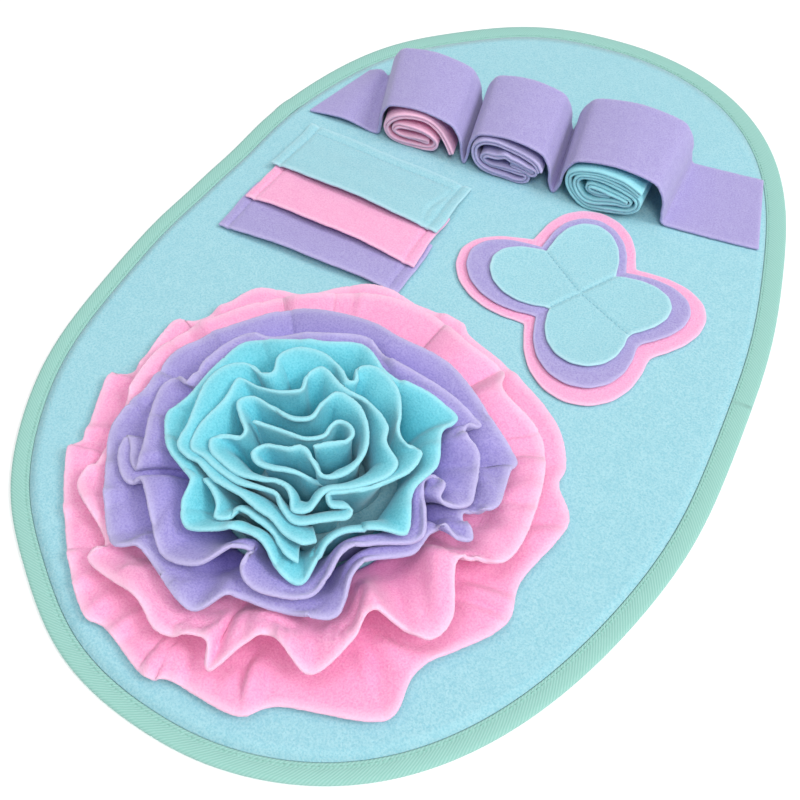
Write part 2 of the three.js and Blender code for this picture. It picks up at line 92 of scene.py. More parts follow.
# %% Set the light
LIT = (0, -0.05, 0)
SOFTBOXES = {
    # place and size in metres, power in watts
    "key": ((3.3, 0.3, 3.5), 1.7, 112),
    "overhead": ((-0.2, -0.2, 3.6), 2.6, 30),
    "fill": ((1.3, -2.0, 3.6), 1.4, 74),
}
ROOM_LIGHT = 0.36
for name, (place, size, watts) in SOFTBOXES.items():
    lamp = bpy.data.lights.new(name, "AREA")
    lamp.size = size
    lamp.energy = watts
    aim(put(name, lamp), place, LIT)
room = bpy.data.worlds.new("room")
room.use_nodes = True
room.node_tree.nodes["Background"].inputs["Color"].default_value = (1, 1, 1, 1)
room.node_tree.nodes["Background"].inputs["Strength"].default_value = ROOM_LIGHT
bpy.context.scene.world = room
bpy.context.scene.view_settings.view_transform = "Standard"
print(len(SOFTBOXES), "softboxes")

# %% [markdown]
# ## The floor
# A large sheet of matt white paper is the whole studio, and no part of the mat. Its material brings two
# helpers that all the others use: one turns the hex value that a colour picker shows into the linear colour
# that a shader needs, and one adds a node together with its settings and its links.


# %% Lay the floor
def linear(hex_colour):
    """An sRGB hex colour as linear red, green, blue and alpha."""
    shares = [int(hex_colour[i : i + 2], 16) / 255 for i in (0, 2, 4)]
    return [s / 12.92 if s <= 0.04045 else ((s + 0.055) / 1.055) ** 2.4 for s in shares] + [1.0]


def add(tree, kind, settings=(), links=()):
    """Adds a node: settings are its properties or inputs, links join its inputs to other nodes' outputs."""
    node = tree.nodes.new(kind)
    for name, value in dict(settings).items():
        if isinstance(name, str) and hasattr(node, name):
            setattr(node, name, value)
        else:
            node.inputs[name].default_value = value
    for name, output in dict(links).items():
        tree.links.new(output, node.inputs[name])
    return node


def fresh(name):
    """A new material with an empty tree of nodes."""
    material = bpy.data.materials.new(name)
    material.use_nodes = True
    material.node_tree.nodes.clear()
    return material, material.node_tree


def mesh_object(name, bm, material):
    """A smooth-shaded object from a finished bmesh."""
    for face in bm.faces:
        face.smooth = True
    mesh = bpy.data.meshes.new(name)
    bm.to_mesh(mesh)
    bm.free()
    mesh.materials.append(material)
    return put(name, mesh)


# Paper is matt: it shows soft shadows and no reflections.
paper, tree = fresh("white_paper")
skin = add(tree, "ShaderNodeBsdfPrincipled", {"Base Color": linear("fbfbfb"), "Roughness": 0.9})
add(tree, "ShaderNodeOutputMaterial", (), {"Surface": skin.outputs["BSDF"]})
bm = bmesh.new()
bmesh.ops.create_grid(bm, x_segments=1, y_segments=1, size=4)
floor = mesh_object("floor", bm, paper)
print("floor laid")

# %% [markdown]
# ## Fleece
# Anti-pill fleece is a knitted cloth whose face is brushed into a short soft nap. From a step away it shows
# a fine grain where the nap clumps, faint wide clouds of lighter and darker cloth, and a fuzzy line wherever
# it was cut, which looks paler because its fuzz scatters the light. Deep in a fold the colour looks deeper,
# because the light there has met the cloth more than once. Noise at two real sizes gives the grain and the
# clouds. The pale line and the deeper folds are painted light, each carried by an attribute of its piece: a
# painted highlight along the cut edges, and painted shade that tints a frill more and more from its free
# edge towards its seam. Sheen gives the glow of a nap at a glancing angle, and some light passes through.

# %% Make the fleece finishes
GRAIN_MM = 1.2
CLOUD_MM = 9.0
THROUGH_MM = 3
# the sockets of a Mix node that mixes colours
FIRST = 6
SECOND = 7
MIXED = 2


def fleece(name, main, deep, pale, fold_shade_colour):
    """Brushed fleece: its face, deep hollows in the nap, a painted highlight on cut edges and painted shade
    in folds.
    """
    material, tree = fresh(name)
    place = {"Vector": add(tree, "ShaderNodeTexCoord").outputs["Object"]}
    grains = {"Scale": 1 / (GRAIN_MM * MM), "Detail": 2.0, "Roughness": 0.6}
    grain = add(tree, "ShaderNodeTexNoise", grains, place).outputs["Fac"]
    clouds = {"Scale": 1 / (CLOUD_MM * MM), "Detail": 1.0}
    cloud = add(tree, "ShaderNodeTexNoise", clouds, place).outputs["Fac"]
    spots = add(tree, "ShaderNodeMapRange", {"From Min": 0.32, "From Max": 0.62}, {"Value": grain})
    faint = {"From Min": 0.3, "From Max": 0.7, "To Min": 0.8}
    drift = add(tree, "ShaderNodeMapRange", faint, {"Value": cloud})
    shares = {0: spots.outputs["Result"], 1: drift.outputs["Result"]}
    share = add(tree, "ShaderNodeMath", {"operation": "MULTIPLY"}, shares).outputs["Value"]
    colours = {"data_type": "RGBA", FIRST: linear(deep), SECOND: linear(main)}
    nap = add(tree, "ShaderNodeMix", colours, {"Factor": share}).outputs[MIXED]
    # painted shade: towards a frill's seam its colour is multiplied by a deeper tint, standing for the shade
    # and the coloured bounce light deep in the folds
    painted_shade_share = add(tree, "ShaderNodeAttribute", {"attribute_name": "painted_fold_shade"}).outputs["Fac"]
    tint = {"data_type": "RGBA", "blend_type": "MULTIPLY", SECOND: linear(fold_shade_colour)}
    folded = add(tree, "ShaderNodeMix", tint, {"Factor": painted_shade_share, FIRST: nap}).outputs[MIXED]
    # painted highlight: the colour turns paler near the cut edges, standing for the light that their fuzz
    # scatters
    edge = add(tree, "ShaderNodeAttribute", {"attribute_name": "painted_edge_highlight"}).outputs["Fac"]
    cut = {"data_type": "RGBA", SECOND: linear(pale)}
    face = add(tree, "ShaderNodeMix", cut, {"Factor": edge, FIRST: folded}).outputs[MIXED]
    bump = add(tree, "ShaderNodeBump", {"Strength": 0.8, "Distance": 0.5 * MM}, {"Height": grain})
    soft = {
        "Roughness": 0.95, "Sheen Weight": 0.25, "Sheen Roughness": 0.45, "Specular IOR Level": 0.15,
        "Subsurface Weight": 0.28, "Subsurface Scale": THROUGH_MM * MM, "Subsurface Radius": (1.0, 1.0, 1.0),
    }
    faces = {"Base Color": face, "Normal": bump.outputs["Normal"]}
    skin = add(tree, "ShaderNodeBsdfPrincipled", soft, faces)
    add(tree, "ShaderNodeOutputMaterial", (), {"Surface": skin.outputs["BSDF"]})
    return material


# each fleece: main colour, the grain's darker spots, the painted highlight for cut edges and the painted
# shade tint for folds
FLEECE = {
    "panel": fleece("pale_blue_fleece", "a7d4dd", "8cc3d0", "c2e6ee", "a7d4dd"),
    "pink": fleece("pink_fleece", "f7b5d5", "ec9bc5", "fbd0e5", "fad2ea"),
    "purple": fleece("lilac_fleece", "b0a8d5", "998fc6", "c6bfe3", "c0b6ff"),
    "blue": fleece("turquoise_fleece", "89d3e0", "6ec2d1", "ace2eb", "84eef6"),
}
print("fleece in", ", ".join(FLEECE))

# %% [markdown]
# ## One way to make a layer of cloth
# Every piece of this mat is one layer of cloth with a soft, rounded cut edge. We could model a plane and
# add a Solidify modifier, but its edges would be square. Instead a grid is rolled into the section of the
# cloth: up one face, round the edge, down the other face and round again. First comes the grid that moves
# to its places.


# %% The grid maker
def unit(vectors):
    return vectors / np.maximum(np.linalg.norm(vectors, axis=-1, keepdims=True), 1e-9)


def ease(x, low, high):
    """A soft step from 0 at low to 1 at high."""
    t = np.clip((x - low) / (high - low), 0, 1)
    return t * t * (3 - 2 * t)


def mix(a, b, t):
    return a + (b - a) * t


def mesh_piece(name, points, looks, material, ring=True, tube=False):
    """A grid moved to points[along, around]. A ring closes lengthwise, a tube round its section."""
    along = len(points) if ring else len(points) - 1
    around = points.shape[1] if tube else points.shape[1] - 1
    bm = bmesh.new()
    bmesh.ops.create_grid(bm, x_segments=along, y_segments=around, size=0.5)
    bm.verts.ensure_lookup_table()
    spots = np.array([v.co[:2] for v in bm.verts]) + 0.5
    i = np.rint(spots[:, 0] * along).astype(int) % len(points)
    j = np.rint(spots[:, 1] * around).astype(int) % points.shape[1]
    layers = {key: bm.verts.layers.float.new(key) for key in looks}
    for vert, a, b in zip(bm.verts, i, j):
        vert.co = points[a, b] * MM
        for key, layer in layers.items():
            vert[layer] = looks[key][a, b]
    bmesh.ops.remove_doubles(bm, verts=bm.verts, dist=2e-6)
    bmesh.ops.recalc_face_normals(bm, faces=bm.faces)
    piece = mesh_object(name, bm, material)
    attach(piece, "root")
    return piece


print("grid maker ready")

# %% [markdown]
# Where a cloth goes is one function of two shares, along and across, and the grid's points are set off from
# it by half the thickness. A little scatter along the cut edges stands for the fuzz of the nap.

# %% The cloth maker
ROUND = 5
FUZZ = 0.12
EDGE_FADE = 1.6
STEP = 2e-4
QUARTER = math.pi / 2


def cloth(name, middle, colour, along, rows, thick, span, pale, closed=False, frill=False):
    """One layer of cloth about the surface middle(u, w), both shares from 0 to 1, in millimetres.

    span is its length and pale how strongly its cut edges get a painted highlight. A frill is sewn at its
    inner edge and has folds: only its free edge gets that highlight, and painted shade deepens it towards
    the seam.
    """
    half = 0.5 * thick
    u = np.linspace(0, 1, along + 1)
    if not closed:
        tip = half / span
        turn = np.linspace(0, QUARTER, 4)
        start = tip * (1 - np.cos(turn[:-1]))
        stop = 1 - tip * (1 - np.sin(turn[1:]))
        u = np.concatenate([start, np.linspace(tip, 1 - tip, along - 5), stop])
        u[-1] = 1
    ends = np.minimum(u, 1 - u) * span
    across = middle(u, np.ones(along + 1)) - middle(u, np.zeros(along + 1))
    inset = half / max(np.linalg.norm(across, axis=1).mean(), 4 * thick)
    grid_u, grid_w = np.meshgrid(u, np.linspace(0, 1, rows), indexing="ij")
    grid_w = inset + (1 - 2 * inset) * grid_w
    place = middle(grid_u, grid_w)
    lengthwise = middle(grid_u + STEP, grid_w) - middle(grid_u - STEP, grid_w)
    further = middle(grid_u, np.minimum(grid_w + STEP, 1))
    outward = unit(further - middle(grid_u, np.maximum(grid_w - STEP, 0)))
    normal = unit(np.cross(lengthwise, outward))
    bend = np.linspace(QUARTER, -QUARTER, ROUND + 2)[1:-1]
    row = np.arange(rows)
    row = np.concatenate([row, np.full(ROUND, rows - 1), row[::-1], np.zeros(ROUND, int)])
    angle = np.concatenate([np.full(rows, QUARTER), bend, np.full(rows, -QUARTER), bend - math.pi])
    body = np.full(along + 1, half)
    if not closed:
        body = body * np.sqrt(np.clip(1 - (1 - np.clip(ends / half, 0, 1)) ** 2, 0, 1))
    sideways = np.sin(angle)[None, :, None] * normal[:, row] + np.cos(angle)[None, :, None] * outward[:, row]
    points = place[:, row] + body[:, None, None] * sideways
    walked = np.linalg.norm(np.diff(place, axis=1), axis=2).cumsum(axis=1)
    walked = np.concatenate([np.zeros((along + 1, 1)), walked], axis=1)
    far = walked[:, -1:] - walked
    if not frill:
        far = np.minimum(far, walked)
    if not closed:
        far = np.minimum(far, ends[:, None])
    # how near each point is to a cut edge: it places the fuzz and the painted highlight there
    edge = np.exp(-((far / EDGE_FADE) ** 2))[:, row]
    edge = np.where(np.abs(np.cos(angle))[None, :] > 0.2, 1.0, edge)
    rough = np.random.default_rng(len(name) * 7 + along).normal(0, FUZZ, points.shape[:2])
    rough = rough * (body / body.max())[:, None]
    points = points + (edge * rough)[:, :, None] * outward[:, row]
    # painted shade for the folds: a frill's share grows from its free edge towards its seam
    painted_shade_share = (1 - grid_w[:, row]) ** 0.9 if frill else np.zeros(edge.shape)
    looks = {"painted_edge_highlight": pale * edge, "painted_fold_shade": painted_shade_share}
    if closed:
        points = points[:-1]
    return mesh_piece(name, points, looks, FLEECE[colour], ring=closed, tube=True)


print("cloth maker ready")

# %% [markdown]
# ## The panel
# The base is a flat oval of fleece. Its rim was fitted as a rounded oval with a few soft bulges, and
# everything else is sewn to it. A grid bent into rings is enough: the middle closes to a point, and the rim
# tucks into the tape.

# %% The mat's rim
MAT = {"half_width": 225.0, "half_length": 348.0, "roundness": 2.42, "thick": 3.2}
RIM_BULGES = [
    # bearing, spread in degrees, push in millimetres
    (-88, 9, 2.4), (-28, 14, 2.6), (35, 18, -4.8), (87, 10, 2.4),
    (113, 11, -8.8), (166, 10, -4.4), (-139, 12, 4.4), (-110, 9, -6.6),
    (-74, 22, 3.0), (60, 28, 1.6), (180, 8, -2.2),
]
TAPE_WIDE = 13.6
TAPE_UNEVEN = 2.8


def wrap(degrees):
    return (degrees + 180) % 360 - 180


def rim(turn, inset):
    """The mat's rim at a share of the way round, moved inwards by an inset: X and Y in millimetres."""

    def at(t):
        a = t * 2 * math.pi
        bearing = np.arctan2(MAT["half_length"] * np.sin(a), MAT["half_width"] * np.cos(a))
        n = MAT["roundness"]
        wide = (np.abs(np.cos(bearing)) / MAT["half_width"]) ** n
        long = (np.abs(np.sin(bearing)) / MAT["half_length"]) ** n
        reach = (wide + long) ** (-1 / n)
        for middle, spread, push in RIM_BULGES:
            reach = reach + push * np.exp(-((wrap(np.degrees(bearing) - middle) / spread) ** 2))
        return np.stack([reach * np.cos(bearing), reach * np.sin(bearing)], -1)

    way = unit(at(turn + 1e-4) - at(turn - 1e-4))
    return at(turn) + np.asarray(inset)[..., None] * np.stack([-way[..., 1], way[..., 0]], -1)


def tape_wide(turn):
    """How wide the tape shows on top: it was folded over a little further at the back than at the front."""
    return TAPE_WIDE + TAPE_UNEVEN * np.sin(2 * math.pi * turn)


print("rim", 2 * MAT["half_width"], "by", 2 * MAT["half_length"], "mm")

# %% Lay the panel
TAPE_THICK = 0.8
GAP = 0.3
TOP = MAT["thick"]
TUCK_TOP = 2.1
TUCK_LOW = 1.1
PANEL_STEPS = 300


def soft_waves(x, y):
    """Very low, wide waves of a cloth that was sewn and then laid flat."""
    return 0.16 * np.sin(x / 37 + 0.6 * np.sin(y / 53)) + 0.14 * np.sin(y / 44 + 1.3 + 0.8 * np.sin(x / 61))


turn = np.arange(PANEL_STEPS) / PANEL_STEPS
showing = tape_wide(turn) + GAP
inner = rim(turn, showing)
rings = []
for share in np.linspace(0, 1, 45):
    xy = inner * share
    lift = (soft_waves(xy[:, 0], xy[:, 1]) - 0.15) * (1 - share**6)
    rings.append(np.column_stack([xy, TOP + lift]))
tuck = np.full(PANEL_STEPS, TAPE_THICK + 2 * GAP)
tucked = [(showing, TUCK_TOP), (tuck, TUCK_TOP), (tuck, TUCK_LOW), (showing, TUCK_LOW), (showing, 0.0)]
for inset, z in tucked:
    rings.append(np.column_stack([rim(turn, inset), np.full(PANEL_STEPS, z)]))
for share in (0.75, 0.5, 0.25, 0.0):
    rings.append(np.column_stack([inner * share, np.zeros(PANEL_STEPS)]))
points = np.stack(rings, axis=1)
plain = {"painted_edge_highlight": np.zeros(points.shape[:2])}
panel = mesh_piece("fleece_panel", points, plain, FLEECE["panel"])
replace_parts(panel, "mat_panel")
print("panel", len(panel.data.polygons), "faces")

# %% [markdown]
# ## The binding
# A woven twill tape is folded over the rim and sewn down along its inner edge. Its diagonal ribs are what
# the eye reads, so each point carries how far along and across the tape it is, and a wave of that gives the
# ribs.

# %% Make the twill tape
RIB_MM = 1.2
# at this scale Blender's wave texture has one band to a unit
ONE_BAND = 0.314


def twill(name, main, deep):
    """Woven cotton tape: fine diagonal ribs, matt, with a little light in the thread."""
    material, tree = fresh(name)
    along = add(tree, "ShaderNodeAttribute", {"attribute_name": "along_mm"}).outputs["Fac"]
    across = add(tree, "ShaderNodeAttribute", {"attribute_name": "across_mm"}).outputs["Fac"]
    place = add(tree, "ShaderNodeCombineXYZ", (), {"X": along, "Y": across}).outputs["Vector"]
    bands = {"wave_type": "BANDS", "bands_direction": "DIAGONAL", "Scale": ONE_BAND / RIB_MM}
    bands |= {"Distortion": 0.4, "Detail": 1.0}
    ribs = add(tree, "ShaderNodeTexWave", bands, {"Vector": place}).outputs["Fac"]
    colours = {"data_type": "RGBA", FIRST: linear(deep), SECOND: linear(main)}
    colour = add(tree, "ShaderNodeMix", colours, {"Factor": ribs}).outputs[MIXED]
    bump = add(tree, "ShaderNodeBump", {"Strength": 0.5, "Distance": 0.25 * MM}, {"Height": ribs})
    woven = {"Roughness": 0.75, "Sheen Weight": 0.12, "Specular IOR Level": 0.3}
    faces = {"Base Color": colour, "Normal": bump.outputs["Normal"]}
    skin = add(tree, "ShaderNodeBsdfPrincipled", woven, faces)
    add(tree, "ShaderNodeOutputMaterial", (), {"Surface": skin.outputs["BSDF"]})
    return material


TAPE = twill("mint_twill_tape", "9ccbc2", "8abfb4")
print("ribs", RIB_MM, "mm apart")

# %% Fold the tape over the rim
TAPE_STEPS = 720
TAPE_TOP = TOP + 0.2
SECTION = np.array([
    # inset from the rim in millimetres and shares of the tape's width, height, millimetres across the tape
    (0.0, 0, 0.5 * TAPE_TOP, 16.0), (0.15, 0, 0.75 * TAPE_TOP, 15.0), (0.7, 0, TAPE_TOP + 0.24, 14.0),
    (2.4, 0, TAPE_TOP + 0.5, 12.2), (0, 0.4, TAPE_TOP + 0.6, 9.0), (0, 0.6, TAPE_TOP + 0.5, 6.0),
    (-3.4, 1, TAPE_TOP + 0.3, 4.0), (-2.0, 1, TAPE_TOP - 0.05, 3.0), (-1.3, 1, TAPE_TOP + 0.1, 2.0),
    (-0.4, 1, TAPE_TOP + 0.05, 1.0), (0, 1, TAPE_TOP - 0.3, 0.4), (-0.1, 1, TAPE_TOP - 0.8, 0.0),
    (1.1, 0, TAPE_TOP - 0.8, 14.0), (1.1, 0, 0.8, 16.0), (0, 1, 0.8, 30.0), (0, 1, 0.0, 30.0),
    (0.7, 0, 0.0, 17.0),
])
PUCKER_HIGH = 0.12
PUCKER_LONG = 2.9
JOIN_AT = (-208, 132)
JOIN_SLOPE = 1.3
JOIN_FADE = (14, 20)


def walk(points):
    """The way walked from the first point to each point."""
    return np.concatenate([[0], np.linalg.norm(np.diff(points, axis=0), axis=1).cumsum()])


turn = np.arange(TAPE_STEPS) / TAPE_STEPS
rail = rim(turn, np.zeros(TAPE_STEPS))
walked = walk(rail)
rings = []
for mm, share, z, _ in SECTION:
    rings.append(np.column_stack([rim(turn, mm + share * tape_wide(turn)), np.full(TAPE_STEPS, z)]))
points = np.stack(rings, axis=1)
sewn = (SECTION[:, 1] == 1) & (SECTION[:, 2] > TAPE_TOP - 0.1)
points[:, :, 2] += PUCKER_HIGH * np.sin(walked[:, None] / PUCKER_LONG) * sewn
join = walked[np.argmin(np.linalg.norm(rail - JOIN_AT, axis=1))]
lap = ease(walked, join - JOIN_SLOPE, join + JOIN_SLOPE)
lap = lap * (1 - ease(walked, join + JOIN_FADE[0], join + JOIN_FADE[1]))
points[:, :, 2] += TAPE_THICK * lap[:, None] * (SECTION[:, 2] > 0.8 * TAPE_TOP)
flat_place = {
    "along_mm": np.repeat(walked[:, None], len(SECTION), axis=1),
    "across_mm": np.repeat(SECTION[None, :, 3], TAPE_STEPS, axis=0),
}
tape = mesh_piece("twill_tape", points, flat_place, TAPE, tube=True)
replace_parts(tape, "binding")

# %% [markdown]
# ## The flower
# Long strips are gathered along one edge and sewn to the panel in rings, pink outside, then lilac, then
# turquoise. The free edges stand up and swing to and fro. A curve through the turns of each free edge is
# the heart of it: the sewn edge is the same curve smoothed out and drawn in, and the cloth rises between
# the two. Each row below is one turn of a free edge, with its bearing round the flower's middle, its
# distance from it and any extra height.

# %% Tables of the rings
FLOWER = np.array([0.0, -180.0])
SEAT = TOP + GAP
RINGS = {
    # root: how far out it is sewn; height: of its free edge where that is as far out as spread;
    # fall: how much lower the edge gets with each millimetre further out; billow: how full its cloth is
    "pink_lower": {
        "root": 90, "height": 5.2, "spread": 150, "fall": 0.0, "billow": 0.35, "lies": True,
        "folds": [
            (30, 157), (25, 151), (16, 158, 2), (357, 142), (347, 149, 2), (325, 139), (316, 157, 4),
            (293, 143), (287, 151, 3), (270, 146), (266, 151, 2), (250, 147), (246, 152, 2), (222, 148),
            (201, 153, 2), (198, 148), (179, 157, 2), (176, 147), (157, 161, 3), (153, 152), (135, 162, 3),
            (123, 149), (114, 155, 2), (107, 160, 5), (100, 159, 5), (93, 154, 1), (79, 156, 2), (76, 151),
            (62, 151), (41, 159, 2),
        ],
    },
    "pink_upper": {
        "root": 70.5, "height": 16.6, "spread": 125, "fall": 0.28, "billow": 0.85,
        "folds": [
            (27, 142), (38, 145), (52, 131), (60, 144), (71, 138), (86, 147, 2), (99, 149, 4),
            (112, 145, 3), (125, 140, 1), (131, 146), (147, 138), (160, 145), (175, 135), (207, 130),
            (213, 139), (233, 126), (235, 137), (254, 126), (263, 131), (275, 123), (278, 136), (290, 112),
            (301, 131), (313, 117), (319, 107), (330, 132), (337, 130), (349, 110), (353, 116), (356, 129),
            (362, 134), (374, 137),
        ],
    },
    "purple_lower": {
        "root": 65.5, "height": 25, "spread": 112, "fall": 0.3, "billow": 0.8,
        "folds": [
            (28, 125), (40, 114), (66, 108), (86, 101), (99, 107), (128, 123), (138, 118), (165, 128),
            (183, 118), (194, 128), (214, 121), (236, 122), (242, 110), (268, 114), (277, 98), (290, 99),
            (309, 106), (317, 88), (326, 82), (341, 90), (351, 89), (354.5, 95), (354, 105), (356.5, 110.5),
            (359.5, 107), (362, 99.5), (364.5, 98), (366, 103), (367, 110), (370, 116), (377, 117.5),
            (384, 120.5),
        ],
    },
    "purple_upper": {
        "root": 60, "height": 33, "spread": 98, "fall": 0.3, "billow": 0.75,
        "folds": [
            (39, 105.5), (52, 93), (66, 82), (80, 78), (96, 87), (116, 83), (135, 89), (146, 101),
            (163, 95), (177, 90), (175, 103), (179, 108), (190, 103.5), (202, 98), (210, 98), (215, 101),
            (211, 105), (204, 108), (201, 112.5), (205, 115), (213, 112), (219, 106), (220, 98),
            (226, 95.5), (236, 97), (250, 102), (262, 94), (271, 76), (278, 74), (277, 86), (283, 93),
            (300, 95), (308, 87), (317, 75), (328, 75), (346, 89), (354, 82), (361, 75), (368, 72),
            (372, 77), (371, 82), (367, 84.5), (363, 84.5), (361.5, 89), (363, 96), (367, 101), (374, 101),
            (381, 101), (386, 101), (390, 98), (392, 94.5), (395, 93), (398, 96), (398.5, 101),
        ],
    },
    "blue_outer": {
        "root": 54, "height": 42, "spread": 78, "fall": 0.3, "billow": 0.6,
        "folds": [
            (148, 91), (130, 78), (112, 73), (95, 78), (72, 67), (52, 82), (41, 91), (33, 79), (15, 77),
            (-1, 70), (-18, 83), (-26, 73), (-40, 65), (-49, 68), (-54, 76), (-61, 88), (-68, 84),
            (-79, 69.5), (-88, 67.5), (-111, 84), (-121, 78), (-128, 69), (-135, 71), (-150, 81),
            (-168, 89), (-175, 81), (-195, 83),
        ],
    },
}
print(len(RINGS), "rings")

# %% Tables of the coils
COILS = {
    # gather: over what share of its length the sewn edge is smoothed;
    # draw and tighten: how far that edge is drawn in towards the flower's middle
    "blue_heart": {
        "height": 50, "spread": 50, "fall": 0.08, "gather": 0.02, "draw": 0.95, "tighten": 0.0045,
        "folds": [
            (-54, 66, -5), (-60, 69), (-69, 64), (-79, 56), (-88, 54), (-102, 52), (-122, 58), (-136, 63),
            (-140, 68), (-148, 74), (-160, 70), (-185, 75), (-197, 74), (-206, 66), (-209, 54), (-215, 51),
            (-223, 63), (-234, 67), (-248, 62), (-264, 51), (-273, 45), (-277, 49), (-272, 57), (-279, 64),
            (-298, 63), (-317, 56), (-329, 53), (-338, 59), (-341, 67), (-352, 65), (-363, 58),
            (-376, 50.5), (-390, 45), (-402, 42), (-404, 45.5), (-403, 49.5), (-398, 52), (-394, 54),
            (-393, 57.5), (-397, 59.5), (-403, 58), (-410, 57), (-425, 57), (-436, 48), (-442, 42),
            (-456, 43), (-470, 48), (-490, 55), (-498, 59), (-505, 66), (-519, 63), (-540, 56), (-556, 60),
            (-561, 46), (-575, 34), (-593, 32), (-600, 44), (-610, 50), (-634, 39), (-660, 42), (-684, 47),
            (-698, 46), (-712, 56), (-722, 55), (-744, 45), (-762, 40), (-777, 50), (-787, 50), (-791, 41),
            (-797, 36), (-808, 35), (-818, 38), (-836, 45), (-850, 50), (-862, 55), (-870, 54), (-871, 46),
            (-869, 38), (-876, 35), (-888, 40), (-902, 48), (-911, 43), (-914, 28), (-920, 12), (-978, 10),
            (-984, 24), (-992, 34), (-1020, 36), (-1066, 36), (-1100, 36), (-1120, 31), (-1128, 20),
            (-1136, 12), (-1157, 10), (-1180, 14), (-1200, 18), (-1213, 25), (-1209, 32), (-1196, 33),
            (-1180, 30), (-1164, 27), (-1148, 26, -2), (-1130, 27, -9), (-1112, 28, -20),
        ],
    },
    "blue_side": {
        "height": 46, "spread": 60, "fall": 0.1, "gather": 0.18, "draw": 0.955, "tighten": 0.0038,
        "folds": [
            (-127, 62.5), (-118, 61), (-110, 63.5), (-105, 69.5), (-99, 64.5), (-100, 59), (-94, 57),
            (-88, 58), (-82, 59.5), (-76, 62.5), (-71, 69), (-67, 74), (-62, 77, -2),
        ],
    },
    "blue_core": {
        "height": 52, "spread": 20, "fall": 0.0, "gather": 0.06, "draw": 0.92, "tighten": 0.0,
        "folds": [
            (-167, 32), (-164, 20), (-150, 9), (-60, 4), (18, 11), (46, 15), (52, 20), (40, 25.5), (26, 27),
            (16, 24.5), (11, 20.6), (0, 14.5), (-20, 11.3), (-36, 10.4),
        ],
    },
}
FRILLS = RINGS | COILS
print(len(COILS), "coils")

# %% [markdown]
# Between two turns, a cubic carries the edge on. Of the curves that pass through their points, the
# centripetal Catmull-Rom curve is the one that makes no loops where turns lie close together, as they do in
# tight folds.


# %% Curves through the turns
def cubic(start, stop, leave, arrive, t):
    """The cubic from start to stop that leaves and arrives with these speeds."""
    bend = 3 * (stop - start) - 2 * leave - arrive
    twist = 2 * (start - stop) + leave + arrive
    return start + leave * t + bend * t**2 + twist * t**3


def smooth_curve(turns, closed, fine=40):
    """A centripetal Catmull-Rom curve through the turns, with as many fine steps on each stretch."""
    turns = np.array(turns, float)
    if closed:
        ring = np.concatenate([turns[-1:], turns, turns[:2]])
    else:
        ring = np.concatenate([2 * turns[:1] - turns[1:2], turns, 2 * turns[-1:] - turns[-2:-1]])
    t = np.linspace(0, 1, fine, endpoint=False)[:, None]
    out = []
    for k in range(len(ring) - 3):
        a, b, c, d = ring[k : k + 4]
        ab, bc, cd = (max(np.linalg.norm(q - p), 1e-4) ** 0.5 for p, q in ((a, b), (b, c), (c, d)))
        leave = ((b - a) / ab - (c - a) / (ab + bc) + (c - b) / bc) * bc
        arrive = ((c - b) / bc - (d - b) / (bc + cd) + (d - c) / cd) * bc
        out.append(cubic(b, c, leave, arrive, t))
    out.append(turns[:1] if closed else turns[-1:])
    return np.concatenate(out)


class Route:
    """A curve that can be asked for the point at any share of its length."""

    def __init__(self, points, closed=False):
        self.points = points
        self.closed = closed
        self.walked = walk(points)
        self.length = self.walked[-1]

    def at(self, u):
        u = np.mod(u, 1.0) if self.closed else np.clip(u, 0, 1)
        return np.stack([np.interp(u * self.length, self.walked, column) for column in self.points.T], -1)


def free_edge(name):
    """The route of a frill's free edge about the flower's middle."""
    row = FRILLS[name]
    turns = []
    for bearing, far, *up in row["folds"]:
        angle = math.radians(bearing)
        z = row["height"] + sum(up) - row["fall"] * (far - row["spread"])
        turns.append((far * math.cos(angle), far * math.sin(angle), z))
    return Route(smooth_curve(turns, name in RINGS), name in RINGS)


EDGES = {name: free_edge(name) for name in FRILLS}
print("free edges", round(sum(edge.length for edge in EDGES.values())), "mm")
